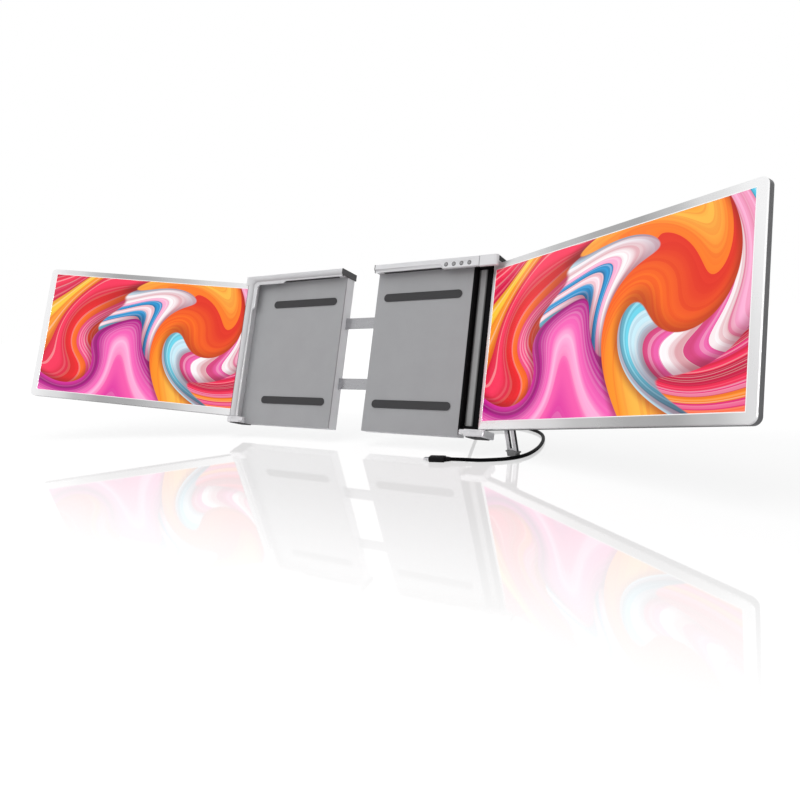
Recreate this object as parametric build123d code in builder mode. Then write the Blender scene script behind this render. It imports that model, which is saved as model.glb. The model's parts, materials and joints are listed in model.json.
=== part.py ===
from build123d import *
from math import ceil, cos, pi, radians, sin, tan
import os

# Clip-on twin screen extender that holds itself on the lid of an open laptop.
#
# Every piece is drawn in the lid's own frame: X to the right, Y to the back, Z up along the lid. The
# origin is midway between the two halves, inside the slot that takes the lid, level with the undersides
# of the feet. The screens are then swung about their hinges and the whole set leans back with the lid.
# The stand's foot and the cable are drawn on the table. Millimetres and degrees.

# ---- Driving dimensions ----------------------------------------------------------------------

LEAN = 17.2  # backward lean of the lid and of all that it carries
SWING_RIGHT = 25.6  # turn of the right screen towards the user
SWING_LEFT = 25.0  # turn of the left screen towards the user
TABLE = -19.3  # height of the table under the origin

FIT = 0.2  # clearance between fixed pieces that meet
RUN = 0.05  # radial clearance of a pin that turns
WALL = 2.0  # wall of the rear shells

# The bracket and its two halves
FRONT = 9.2  # front faces ahead of the origin
BACK = 21.6  # rear faces behind the origin
LID_FACE = 5.5  # the lid's glass ahead of the origin
LID_ROOM = 8.0  # depth of the slot that takes the lid
HALVES_GAP = 50.0  # between the inner ends of the beams
BEAM_END = 194.5  # from the middle to the outer end of a beam
BEAM_THICK = 8.5
CAP_THICK = 7.1  # from the underside of the caps over the screens to the beam's top
CAP_GAP = 0.4  # between a screen's top and the cap over it
COVER = 1.2  # thickness of the dark plates on the beams' inner ends
BAND = 6.0  # height of the beam's raised front band
COLUMN_BAND = 7.7  # width of the column's raised front band
REBATE = 2.5  # width of the dark rebate along the column's outer edge
BEVEL = 2.2  # width of the bevel from the band down to the lip
LIP = 2.0  # thickness of the lip
LIP_DROP = 1.3  # how far the narrow lip reaches over the lid
LIP_DROP_WIDE = 4.2
SIDE_STOP = 182.0  # the lid's side edge stops here
SIDE_LIP = 1.2  # how far the column's lip reaches over the lid
SIDE_LIP_WIDE = 5.6
LIP_STEP_X = 128.0  # where the beam's lip changes width
LIP_STEP_DROP = 40.0  # from the beam's underside down to where the column's lip changes width
STEP_RUN = 3.6  # length of the sloping step between the two widths
CORNER_ROUND = 6.0
PLATE = 2.0  # plate behind the lid

# The end caps and feet that hold the hinges
CAP_SEAM = 171.2
SEAM_WIDE = 1.0  # shadow groove between the band and the cap
SEAM_DEEP = 1.4
CAP_ROUND = 4.0
NOSE_BACK = 0.4  # the left cap's nose behind the front faces
NOSE_WALL = 0.8
NOSE_ROUND = 1.6
END_COVER = 1.1  # thickness of the dark plate on the cap's end
COVER_SEAT = 0.7  # depth of that plate's seat
FOOT_IN = 174.0
FOOT_OUT = 198.5
FOOT_HEIGHT = 8.0
HOOK_IN = 168.0
HOOK_LOW = 1.8
HOOK_HIGH = 7.4
HOOK_TAIL = 6.0

# The hinge channel between the right half and its screen
CHANNEL_IN = 160.5
CHANNEL_OUT = 184.8
CHANNEL_FACE = 8.0  # the channel's rim behind the origin
CHANNEL_DEPTH = 4.0
CHANNEL_RIM = 2.0  # rim beside the channel's recess
CHANNEL_RIM_LOW = 4.8
CHANNEL_RIM_TOP = 2.7
STRIP_W = 10.8
STRIP_SIDE = 1.2  # from the recess's inner side to the strip
STRIP_THICK = 1.0

# The hinges
HINGE_X = 191.8
HINGE_Y = 5.5
PIN_DIA = 3.5
PIN_HOLD = 5.5  # pin held in a cap or foot
PIN_REACH = 7.4  # pin inside the screen

# The screens
ACTIVE_W = 309.4
ACTIVE_H = 174.0
SCREEN_THICK = 9.0
SCREEN_FRONT = 1.0  # screen's front face behind the origin when it is swung flat
BEZEL_NEAR = 5.5
BEZEL_FAR = 9.6
BEZEL_LOW = 10.0
BEZEL_TOP = 8.0
SCREEN_LOW = 9.0  # underside of the screen above the feet's undersides
SCREEN_NEAR = 185.7  # near edge of the screen when it is swung flat
BEZEL_THICK = 2.0
BEZEL_PLATE = 0.8
COVER_WALL = 1.5
COVER_FLOOR = 1.8
NEAR_ROUND = 2.0
FAR_ROUND = 7.0
GLASS = 0.5
MODULE = 2.2

# The buttons
BUTTON_FIRST = 128.4
BUTTON_PITCH = 10.2
BUTTON_RISE = 1.0  # middles of the buttons above the beam's underside
BUTTON_RING = 0.6  # width of the shallow ring round a button
BUTTON_FLANGE = 0.5
BUTTON_FLANGE_THICK = 0.6
BUTTON_NIB = 0.6  # length of the nib that presses the switch
BUTTON_NIB_RISE = 1.2  # middle of the nib above the button's
BUTTON_WALL = 1.2  # front wall that the buttons come through
BUTTON_DIA = 4.0
BUTTON_PROUD = 0.5
BUTTON_TRAVEL = 0.5
BUTTON_CLEAR = 0.2
BUTTON_NAMES = ("button_menu", "button_down", "button_up", "button_power")

# The rails that join the halves
RAIL_HEIGHTS = (60.0, 140.0)
RAIL_WIDE = 14.0
RAIL_THICK = 2.5
RAIL_Y = 13.0
RAIL_REACH = 110.0  # into the left half, from the middle
RAIL_ROOT = 75.0  # into the right half, from the middle
RAIL_PLAY = 0.3

# The boards and the socket
BOARD = 1.6
MAIN_BOARD = (86.0, 152.0, 20.0, 112.0)
PORT_X = 136.0
PORT_Z = 30.0
PORT_W = 9.0
PORT_H = 3.3

# The stand under the right screen
STAND_X = 221.7
STAND_Y = 14.8
STAND_Z = 17.0
STAND_LEAN = 18.5  # from the screen's plane when it is swung out
STAND_LENGTH = 31.5
STAND_WIDE = 15.4  # width of the slotted leg
STAND_THICK = 3.0
STAND_SLOT = 4.8  # width of its slot
STAND_SLOT_ENDS = (5.0, 27.8)  # the slot's ends below the pin
STAND_PIN_DIA = 2.4
STAND_FOOT_W = 16.8
STAND_FOOT_D = 8.0
STAND_FOOT_H = 6.2
STAND_RIM = 1.5  # height of the foot's wider rim
STAND_RIM_OUT = 1.1  # how far the rim stands out

# The cable
CABLE_DIA = 4.0
CABLE_LENGTH = 1000.0
COIL_CENTRE = (118.0, 172.0)
COIL_RADIUS = 20.0
PLUG_L = 17.0
RELIEF_L = 6.0  # tapered end of the plug that the cable comes out of
PLUG_W = 12.0
PLUG_H = 6.0
TIP_L = 6.0
TIP_W = 8.3
TIP_H = 2.5

# ---- Sizes that follow -----------------------------------------------------------------------

BEAM_IN = HALVES_GAP / 2
SCREEN_TOP = SCREEN_LOW + BEZEL_LOW + ACTIVE_H + BEZEL_TOP
SCREEN_FAR = SCREEN_NEAR + BEZEL_NEAR + ACTIVE_W + BEZEL_FAR
SCREEN_BACK = SCREEN_FRONT + SCREEN_THICK
WINDOW = (SCREEN_NEAR + BEZEL_NEAR, SCREEN_FAR - BEZEL_FAR, SCREEN_LOW + BEZEL_LOW, SCREEN_TOP - BEZEL_TOP)
CAP_UNDER = SCREEN_TOP + CAP_GAP
BEAM_TOP = CAP_UNDER + CAP_THICK
BEAM_UNDER = BEAM_TOP - BEAM_THICK  # the lid's top edge stops here
BAND_FOOT = BEAM_TOP - BAND
BEVEL_FOOT = BAND_FOOT - BEVEL
LIP_STEP_Z = BEAM_UNDER - LIP_STEP_DROP
BUTTON_Z = BEAM_UNDER + BUTTON_RISE
HINGE_EDGE = SCREEN_NEAR - 1.9  # nothing behind the front bands stands further out than this
SLOT_FRONT = -LID_FACE
SLOT_BACK = SLOT_FRONT + LID_ROOM
PLATE_BACK = SLOT_BACK + PLATE
CAVITY_BACK = BACK - WALL
SHELL_IN = BEAM_IN + COVER
CHANNEL_FLOOR = CHANNEL_FACE + CHANNEL_DEPTH
LIP_FRONT = SLOT_FRONT - LIP
BUTTON_XS = [BUTTON_FIRST + BUTTON_PITCH * index for index in range(len(BUTTON_NAMES))]


# ---- Helpers ---------------------------------------------------------------------------------


def block(x, y, z, mode=Mode.ADD):
    """A block between the given pairs of limits, in the part that is being built."""
    with Locations((sum(x) / 2, sum(y) / 2, sum(z) / 2)):
        Box(x[1] - x[0], y[1] - y[0], z[1] - z[0], mode=mode)


def mirrored(piece):
    """The same piece for the left half."""
    return mirror(piece, about=Plane.YZ)


def beam_section(band_foot, bevel_foot, ledge, lip_foot):
    """Side view of a beam's front frame as (y, z) points."""
    return [
        (SLOT_BACK, BEAM_TOP),
        (-FRONT, BEAM_TOP),
        (-FRONT, band_foot),
        (ledge, bevel_foot),
        (ledge, lip_foot),
        (SLOT_FRONT, lip_foot),
        (SLOT_FRONT, BEAM_UNDER),
        (SLOT_BACK, BEAM_UNDER),
    ]


NARROW_SECTION = beam_section(BAND_FOOT, BEVEL_FOOT, LIP_FRONT, BEAM_UNDER - LIP_DROP)
WIDE_FOOT = BEAM_UNDER - LIP_DROP_WIDE
WIDE_SECTION = beam_section(WIDE_FOOT + 1.0, WIDE_FOOT + 0.2, 0.8 - FRONT, WIDE_FOOT)


# ---- Right half: front frame, cap and covers ---------------------------------------------------

BUTTON_ZONE = LIP_STEP_X - STEP_RUN
CAVITY = (BEAM_UNDER + 1.2, BEAM_TOP - 2.2)  # floor and ceiling of the beam's cavity
FLANGE_BACK = -FRONT + BUTTON_WALL + FIT + BUTTON_FLANGE_THICK

with BuildPart() as right_front_frame:
    with BuildSketch(Plane.YZ.offset(SHELL_IN)):
        Polygon(*NARROW_SECTION, align=None)
    extrude(amount=BUTTON_ZONE - STEP_RUN - SHELL_IN)
    with BuildSketch(Plane.YZ.offset(BUTTON_ZONE)):
        Polygon(*WIDE_SECTION, align=None)
    extrude(amount=CAP_SEAM - BUTTON_ZONE)
    with BuildSketch(Plane.YZ.offset(BUTTON_ZONE - STEP_RUN)):
        Polygon(*NARROW_SECTION, align=None)
    with BuildSketch(Plane.YZ.offset(BUTTON_ZONE)):
        Polygon(*WIDE_SECTION, align=None)
    loft(ruled=True)
    top_edge = right_front_frame.edges().filter_by(Axis.X).group_by(Axis.Z)[-1].group_by(Axis.Y)[0]
    fillet(top_edge, radius=0.8)
    # the hollow behind the band, open to the rear shell
    block((SHELL_IN + WALL, CAP_SEAM - WALL), (-FRONT + WALL, SLOT_BACK), CAVITY, Mode.SUBTRACT)
    # the pocket of the buttons' flanges, down into the lip
    block(
        (BUTTON_XS[0] - 4, BUTTON_XS[-1] + 4),
        (-FRONT + BUTTON_WALL, FLANGE_BACK + BUTTON_TRAVEL + 0.1),
        (BUTTON_Z - BUTTON_DIA / 2 - BUTTON_FLANGE - FIT, CAVITY[1]),
        Mode.SUBTRACT,
    )
    with Locations(*[Plane((x, -FRONT, BUTTON_Z), z_dir=(0, -1, 0)) for x in BUTTON_XS]):
        bore, ring = BUTTON_DIA / 2 + BUTTON_CLEAR, BUTTON_DIA / 2 + BUTTON_RING
        CounterBoreHole(bore, ring, 0.3, depth=BUTTON_WALL + 0.2)
right_front_frame.part.label = "right_front_frame"

with BuildPart() as right_end_cap:
    with BuildSketch(Plane.XY.offset(CAP_UNDER)):
        with BuildLine():
            Polyline(
                (CAP_SEAM + FIT, -FRONT),
                (BEAM_END, -FRONT),
                (BEAM_END, BACK),
                (CAP_SEAM + FIT, BACK),
                close=True,
            )
        make_face()
        fillet(vertices().group_by(Axis.X)[-1], radius=CAP_ROUND)
    extrude(amount=BEAM_TOP - CAP_UNDER)
    # the front wall comes down over the top of the screen's near edge
    with BuildSketch(Plane.XY.offset(WIDE_FOOT)):
        with BuildLine():
            Polyline(
                (CAP_SEAM + FIT, -FRONT),
                (BEAM_END, -FRONT),
                (BEAM_END, SLOT_FRONT),
                (CAP_SEAM + FIT, SLOT_FRONT),
                close=True,
            )
        make_face()
        fillet(vertices().group_by(Axis.X)[-1].group_by(Axis.Y)[0], radius=FRONT - LID_FACE - 0.2)
    extrude(amount=CAP_UNDER - WIDE_FOOT)
    lip_edge = right_end_cap.edges().filter_by(Axis.X).group_by(Axis.Z)[0].group_by(Axis.Y)[0]
    chamfer(lip_edge, length=0.8)
    seam = (CAP_SEAM + FIT, CAP_SEAM + SEAM_WIDE)
    block(seam, (-FRONT, -FRONT + SEAM_DEEP), (WIDE_FOOT, BEAM_TOP), Mode.SUBTRACT)
    # the seat of the dark end cover
    seat = (BEAM_END - COVER_SEAT, BEAM_END)
    block(seat, (-FRONT + 4.3, BACK - 3.2), (CAP_UNDER + 0.7, BEAM_TOP - 0.5), Mode.SUBTRACT)
    with Locations(Plane((HINGE_X, HINGE_Y, CAP_UNDER), z_dir=(0, 0, -1))):
        Hole(PIN_DIA / 2 + 0.02, depth=PIN_HOLD)
right_end_cap.part.label = "right_end_cap"

with BuildPart() as right_end_cover:
    block(
        (BEAM_END - COVER_SEAT, BEAM_END - COVER_SEAT + END_COVER),
        (-FRONT + 4.5, BACK - 3.4),
        (CAP_UNDER + 0.9, BEAM_TOP - 0.7),
    )
right_end_cover.part.label = "right_end_cover"

with BuildPart() as right_inner_cover:
    with BuildSketch(Plane.YZ.offset(BEAM_IN)):
        Polygon((BACK, BEAM_TOP), *NARROW_SECTION[1:7], (BACK, BEAM_UNDER), align=None)
    extrude(amount=COVER)
right_inner_cover.part.label = "right_inner_cover"

# ---- Right half: rear shell, plate and channel -------------------------------------------------

SHELL_TOP = CAP_UNDER - FIT
PLATE_TOP = BEAM_UNDER - FIT


def rear_shell(outer):
    """The hollow rear shell of a right-hand half, open towards the lid, with its screw posts."""
    with BuildPart() as shell:
        block((SHELL_IN, outer), (PLATE_BACK + FIT, BACK), (0, SHELL_TOP))
        block((SHELL_IN, CAP_SEAM), (SLOT_BACK + FIT, BACK), (SHELL_TOP, BEAM_TOP))
        rear_edges = shell.faces().sort_by(Axis.Y)[-1].edges()
        fillet(rear_edges, radius=3.0)
        with BuildSketch(Plane.XZ.offset(-CAVITY_BACK)):
            with BuildLine():
                Polyline(
                    (SHELL_IN + WALL, WALL),
                    (outer - WALL, WALL),
                    (outer - WALL, SHELL_TOP - WALL),
                    (CAP_SEAM - 14, SHELL_TOP - WALL),
                    (CAP_SEAM - 14, BEAM_TOP - WALL),
                    (SHELL_IN + WALL, BEAM_TOP - WALL),
                    close=True,
                )
            make_face()
        extrude(amount=CAVITY_BACK - SLOT_BACK, mode=Mode.SUBTRACT)
        if outer > FOOT_IN:
            block((FOOT_IN - FIT, outer), (0, BACK), (0, FOOT_HEIGHT + FIT), Mode.SUBTRACT)
            floor = FOOT_HEIGHT + FIT + WALL
            deep = (PLATE_BACK + FIT, CAVITY_BACK)
            block((FOOT_IN - FIT - WALL, outer - 3), deep, (FOOT_HEIGHT + FIT, floor))
            block((FOOT_IN - FIT - WALL, FOOT_IN - FIT), deep, (0, floor))
        for height in RAIL_HEIGHTS:
            deep = (RAIL_Y - RAIL_PLAY, RAIL_Y + RAIL_THICK + RAIL_PLAY)
            high = (height - RAIL_WIDE / 2 - RAIL_PLAY, height + RAIL_WIDE / 2 + RAIL_PLAY)
            block((SHELL_IN, SHELL_IN + WALL), deep, high, Mode.SUBTRACT)
        with Locations(*[Plane((x, BACK, z), z_dir=(0, 1, 0)) for x, z in screw_places(outer)]):
            CounterBoreHole(1.3, 2.3, 1.2, depth=WALL + 1)
    return shell.part


def screw_places(outer):
    """Where the rear shell is screwed to the plate: near its four corners."""
    return [(x, z) for x in (SHELL_IN + 8, outer - 8) for z in (16.0, SHELL_TOP - 20.0)]


def back_plate(outer):
    """The plate behind the lid, with the four posts that take the shell's screws."""
    with BuildPart() as plate:
        block((SHELL_IN, outer), (SLOT_BACK, PLATE_BACK), (0, PLATE_TOP))
        if outer > FOOT_IN:
            block((FOOT_IN - FIT, outer), (SLOT_BACK, PLATE_BACK), (0, FOOT_HEIGHT + FIT), Mode.SUBTRACT)
        for x, z in screw_places(outer):
            with BuildSketch(Plane.XZ.offset(-PLATE_BACK)):
                with Locations((x, z)):
                    Circle(3.0)
                    Circle(1.0, mode=Mode.SUBTRACT)
            extrude(amount=-(CAVITY_BACK - PLATE_BACK))
    return plate.part


def shell_screws(outer):
    """The four screws of one half, heads flush in the rear face."""
    with BuildPart() as screws:
        for x, z in screw_places(outer):
            with BuildSketch(Plane.XZ.offset(-BACK)):
                with Locations((x, z)):
                    Circle(2.1)
            extrude(amount=1.2)
            with BuildSketch(Plane.XZ.offset(-BACK + 1.2)):
                with Locations((x, z)):
                    Circle(1.0)
            extrude(amount=6.0)
    return screws.part


RIGHT_OUTER = CHANNEL_IN - FIT
LEFT_OUTER = HINGE_EDGE

right_shell_blank = rear_shell(RIGHT_OUTER)

with BuildPart() as right_back_shell:
    add(right_shell_blank)
    # the rails are screwed to these posts
    for height in RAIL_HEIGHTS:
        for x in (RAIL_ROOT - 32, RAIL_ROOT - 10):
            with BuildSketch(Plane.XZ.offset(-CAVITY_BACK)):
                with Locations((x, height)):
                    Circle(4.0)
            extrude(amount=CAVITY_BACK - RAIL_Y - RAIL_THICK)
    # the board stands on these posts
    for x in (MAIN_BOARD[0] + 5, MAIN_BOARD[1] - 5):
        for z in (MAIN_BOARD[2] + 5, MAIN_BOARD[3] - 5):
            with BuildSketch(Plane.XZ.offset(-CAVITY_BACK)):
                with Locations((x, z)):
                    Circle(2.5)
            extrude(amount=4.0)
    with BuildSketch(Plane.XZ.offset(-BACK)):
        with Locations((PORT_X, PORT_Z)):
            SlotOverall(PORT_W + 0.4, PORT_H + 0.4)
    extrude(amount=WALL, mode=Mode.SUBTRACT)
right_back_shell.part.label = "right_back_shell"

right_back_plate = back_plate(RIGHT_OUTER)

RECESS = (FOOT_HEIGHT + FIT + CHANNEL_RIM_LOW, SHELL_TOP - CHANNEL_RIM_TOP)
STRIP = (CHANNEL_IN + CHANNEL_RIM + STRIP_SIDE, CHANNEL_IN + CHANNEL_RIM + STRIP_SIDE + STRIP_W)

with BuildPart() as right_hinge_channel:
    block((CHANNEL_IN, CHANNEL_OUT), (CHANNEL_FACE, BACK), (FOOT_HEIGHT + FIT, SHELL_TOP))
    fillet(right_hinge_channel.faces().sort_by(Axis.Y)[-1].edges().filter_by(Axis.Z), radius=3.0)
    with BuildSketch(Plane.XZ.offset(-CHANNEL_FLOOR)):
        with Locations(((CHANNEL_IN + CHANNEL_OUT) / 2, sum(RECESS) / 2)):
            RectangleRounded(CHANNEL_OUT - CHANNEL_IN - 2 * CHANNEL_RIM, RECESS[1] - RECESS[0], 1.0)
    extrude(amount=CHANNEL_FLOOR - CHANNEL_FACE, mode=Mode.SUBTRACT)
    # the inner rim comes forward beside the plate
    block((CHANNEL_IN, CHANNEL_IN + CHANNEL_RIM), (SLOT_BACK, CHANNEL_FACE), (FOOT_HEIGHT + FIT, SHELL_TOP))
right_hinge_channel.part.label = "right_hinge_channel"

with BuildPart() as right_channel_strip:
    with BuildSketch(Plane.XZ.offset(-CHANNEL_FLOOR)):
        with Locations((sum(STRIP) / 2, sum(RECESS) / 2)):
            RectangleRounded(STRIP_W, RECESS[1] - RECESS[0] - 1.0, 1.0)
    extrude(amount=STRIP_THICK)
right_channel_strip.part.label = "right_channel_strip"

# ---- Feet and hooks ----------------------------------------------------------------------------

HOOK_SLOT = (SLOT_FRONT - 2.1, SLOT_FRONT + 2.1)

with BuildPart() as right_foot:
    with BuildSketch(Plane.XY):
        with BuildLine():
            Polyline((FOOT_IN, -FRONT), (FOOT_OUT, -FRONT), (FOOT_OUT, BACK), (FOOT_IN, BACK), close=True)
        make_face()
        fillet(vertices().group_by(Axis.X)[-1], radius=CAP_ROUND)
    extrude(amount=FOOT_HEIGHT)
    chamfer(right_foot.faces().sort_by(Axis.Y)[0].edges().filter_by(Axis.X), length=0.5)
    # a shallow grip on the front face
    block((FOOT_IN + 6.5, FOOT_OUT - 8.5), (-FRONT, -FRONT + 0.6), (1.6, FOOT_HEIGHT - 1.6), Mode.SUBTRACT)
    # the slot of the hook's tail
    block((FOOT_IN, FOOT_IN + HOOK_TAIL), HOOK_SLOT, (HOOK_LOW + 0.8, HOOK_HIGH - 0.8), Mode.SUBTRACT)
    with Locations(Plane((HINGE_X, HINGE_Y, FOOT_HEIGHT))):
        Hole(PIN_DIA / 2 + 0.02, depth=PIN_HOLD)
right_foot.part.label = "right_foot"

with BuildPart() as right_foot_pad:
    block((FOOT_IN + 1, FOOT_OUT - 4), (-FRONT + 2.5, BACK - 4), (-1.0, 0))
    fillet(right_foot_pad.edges().filter_by(Axis.Z), radius=2.0)
right_foot_pad.part.label = "right_foot_pad"

with BuildPart() as right_hook:
    with BuildSketch(Plane.XZ.offset(LID_FACE)):
        with Locations(((HOOK_IN + FOOT_IN) / 2, (HOOK_LOW + HOOK_HIGH) / 2)):
            Rectangle(FOOT_IN - HOOK_IN, HOOK_HIGH - HOOK_LOW)
        fillet(vertices().group_by(Axis.X)[0], radius=1.5)
    extrude(amount=FRONT - LID_FACE)
    block(
        (FOOT_IN, FOOT_IN + HOOK_TAIL - FIT),
        (HOOK_SLOT[0] + RUN, HOOK_SLOT[1] - RUN),
        (HOOK_LOW + 0.8 + RUN, HOOK_HIGH - 0.8 - RUN),
    )
right_hook.part.label = "right_hook"

with BuildPart() as right_hinge_pins:
    with BuildSketch(Plane.XY.offset(FOOT_HEIGHT - PIN_HOLD)):
        with Locations((HINGE_X, HINGE_Y)):
            Circle(PIN_DIA / 2)
    extrude(amount=PIN_HOLD + SCREEN_LOW - FOOT_HEIGHT + PIN_REACH)
    with BuildSketch(Plane.XY.offset(CAP_UNDER + PIN_HOLD)):
        with Locations((HINGE_X, HINGE_Y)):
            Circle(PIN_DIA / 2)
    extrude(amount=-(PIN_HOLD + CAP_UNDER - SCREEN_TOP + PIN_REACH))
right_hinge_pins.part.label = "right_hinge_pins"

# ---- Left half ---------------------------------------------------------------------------------

COLUMN_FOOT = FOOT_HEIGHT + FIT
COLUMN_OUT = BEAM_END - REBATE
COLUMN_BEVEL = COLUMN_OUT - COLUMN_BAND - BEVEL

with BuildPart() as left_front_frame:
    # the lip, narrow along the beam and column and wide round the corner
    with BuildSketch(Plane.XZ.offset(LID_FACE)):
        with BuildLine():
            Polyline(
                (-BEAM_END, COLUMN_FOOT),
                (-BEAM_END, BEAM_TOP),
                (-SHELL_IN, BEAM_TOP),
                (-SHELL_IN, BEAM_UNDER - LIP_DROP),
                (-LIP_STEP_X + STEP_RUN, BEAM_UNDER - LIP_DROP),
                (-LIP_STEP_X, WIDE_FOOT),
                (-SIDE_STOP + SIDE_LIP_WIDE, WIDE_FOOT),
                (-SIDE_STOP + SIDE_LIP_WIDE, LIP_STEP_Z + STEP_RUN),
                (-SIDE_STOP + SIDE_LIP, LIP_STEP_Z),
                (-SIDE_STOP + SIDE_LIP, COLUMN_FOOT),
                close=True,
            )
        make_face()
        inner_corner = vertices().sort_by_distance((-SIDE_STOP + SIDE_LIP_WIDE, WIDE_FOOT))[0]
        fillet(inner_corner, radius=CORNER_ROUND)
    extrude(amount=LIP)
    # the raised band, bevelled down to the lip and set back from the column's outer edge
    with BuildSketch(Plane.XZ.offset(LID_FACE + LIP)):
        with BuildLine():
            Polyline(
                (-COLUMN_OUT, COLUMN_FOOT),
                (-COLUMN_OUT, WIDE_FOOT),
                (-BEAM_END, WIDE_FOOT),
                (-BEAM_END, BEAM_TOP),
                (-SHELL_IN, BEAM_TOP),
                (-SHELL_IN, BEVEL_FOOT),
                (-COLUMN_BEVEL, BEVEL_FOOT),
                (-COLUMN_BEVEL, COLUMN_FOOT),
                close=True,
            )
        make_face()
        fillet(vertices().sort_by_distance((-COLUMN_BEVEL, BEVEL_FOOT))[0], radius=CORNER_ROUND)
    extrude(amount=FRONT - LID_FACE - LIP)
    front_face = left_front_frame.faces().sort_by(Axis.Y)[0]
    inner_edges = [
        edge
        for edge in front_face.edges()
        if -COLUMN_OUT + 4 < edge.center().X < -SHELL_IN - 1
        and COLUMN_FOOT + 1 < edge.center().Z < BEAM_TOP - 1
    ]
    chamfer(inner_edges, length=BEVEL - 0.2, length2=FRONT - LID_FACE - LIP - 0.2, reference=front_face)
    top_edge = left_front_frame.edges().filter_by(Axis.X).group_by(Axis.Z)[-1].group_by(Axis.Y)[0]
    fillet(top_edge, radius=0.8)
    # the plate over the lid's top edge and the stop beside the lid
    block((-HINGE_EDGE, -SHELL_IN), (SLOT_FRONT, SLOT_BACK), (BEAM_UNDER, BEAM_TOP))
    block((-HINGE_EDGE, -SIDE_STOP), (SLOT_FRONT, SLOT_BACK), (COLUMN_FOOT, BEAM_UNDER))
    block((-HINGE_EDGE + WALL, -SHELL_IN - WALL), (-FRONT + WALL, SLOT_BACK), CAVITY, Mode.SUBTRACT)
left_front_frame.part.label = "left_front_frame"

NOSE = (NOSE_BACK - FRONT, NOSE_BACK - FRONT + NOSE_WALL)

with BuildPart() as left_hinge_cap:
    with BuildSketch(Plane.XY.offset(CAP_UNDER)):
        with BuildLine():
            Polyline(
                (-FOOT_OUT, NOSE[0]),
                (-BEAM_END - FIT, NOSE[0]),
                (-BEAM_END - FIT, SLOT_FRONT + FIT),
                (-HINGE_EDGE - FIT, SLOT_FRONT + FIT),
                (-HINGE_EDGE - FIT, SLOT_BACK + FIT),
                (-CAP_SEAM - FIT, SLOT_BACK + FIT),
                (-CAP_SEAM - FIT, BACK),
                (-FOOT_OUT, BACK),
                close=True,
            )
        make_face()
        fillet(vertices().group_by(Axis.X)[0].group_by(Axis.Y)[0], radius=NOSE_ROUND)
        fillet(vertices().group_by(Axis.X)[0].group_by(Axis.Y)[-1], radius=CAP_ROUND)
    extrude(amount=BEAM_TOP - 0.4 - CAP_UNDER)
    # the nose comes down over the top of the screen's near edge
    block((-FOOT_OUT + NOSE_ROUND - 0.6, -BEAM_END - FIT), NOSE, (WIDE_FOOT, CAP_UNDER))
    with Locations(Plane((-HINGE_X, HINGE_Y, CAP_UNDER), z_dir=(0, 0, -1))):
        Hole(PIN_DIA / 2 + 0.02, depth=PIN_HOLD)
left_hinge_cap.part.label = "left_hinge_cap"

left_back_shell = mirrored(rear_shell(LEFT_OUTER))

left_back_plate = mirrored(back_plate(LEFT_OUTER))

# ---- Rails and their guides --------------------------------------------------------------------


def rail(height, name):
    """A flat steel rail, fixed in the right half and running in the left one."""
    with BuildPart() as strip:
        with BuildSketch(Plane.XZ.offset(-RAIL_Y)):
            with Locations(((RAIL_ROOT - RAIL_REACH) / 2, height)):
                RectangleRounded(RAIL_ROOT + RAIL_REACH, RAIL_WIDE, 1.5)
            with Locations((RAIL_ROOT - 32, height), (RAIL_ROOT - 10, height)):
                Circle(1.6, mode=Mode.SUBTRACT)
        extrude(amount=-RAIL_THICK)
    strip.part.label = name
    return strip.part


GUIDE = (-62.0, -34.0)

with BuildPart() as left_rail_guides:
    for height in RAIL_HEIGHTS:
        block(GUIDE, (RAIL_Y - 1.8, CAVITY_BACK), (height - RAIL_WIDE / 2 - 4, height + RAIL_WIDE / 2 + 4))
        block(
            GUIDE,
            (RAIL_Y - RAIL_PLAY, RAIL_Y + RAIL_THICK + RAIL_PLAY),
            (height - RAIL_WIDE / 2 - RAIL_PLAY, height + RAIL_WIDE / 2 + RAIL_PLAY),
            Mode.SUBTRACT,
        )
left_rail_guides.part.label = "left_rail_guides"

with BuildPart() as rail_screws:
    for height in RAIL_HEIGHTS:
        for x in (RAIL_ROOT - 32, RAIL_ROOT - 10):
            with BuildSketch(Plane.XZ.offset(-RAIL_Y)):
                with Locations((x, height)):
                    Circle(3.0)
            extrude(amount=1.4)
            with BuildSketch(Plane.XZ.offset(-RAIL_Y)):
                with Locations((x, height)):
                    Circle(1.5)
            extrude(amount=-RAIL_THICK)
rail_screws.part.label = "rail_screws"

# ---- Pads on the lid's side of the bracket -----------------------------------------------------

PAD = 0.8
PAD_LONG = 110.0
PAD_HIGH = 10.0
PAD_HEIGHTS = (34.0, PLATE_TOP - 31.8)

with BuildPart() as right_lid_pads:
    for z in PAD_HEIGHTS:
        with BuildSketch(Plane.XZ.offset(-SLOT_BACK)):
            with Locations(((BEAM_IN + CHANNEL_IN) / 2, z)):
                SlotOverall(PAD_LONG, PAD_HIGH)
        extrude(amount=PAD)
    block((SHELL_IN + 10, CAP_SEAM - 10), (SLOT_FRONT + 1.5, SLOT_BACK - 2), (BEAM_UNDER - PAD, BEAM_UNDER))
right_lid_pads.part.label = "right_lid_pads"

# ---- Buttons and boards ------------------------------------------------------------------------


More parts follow.
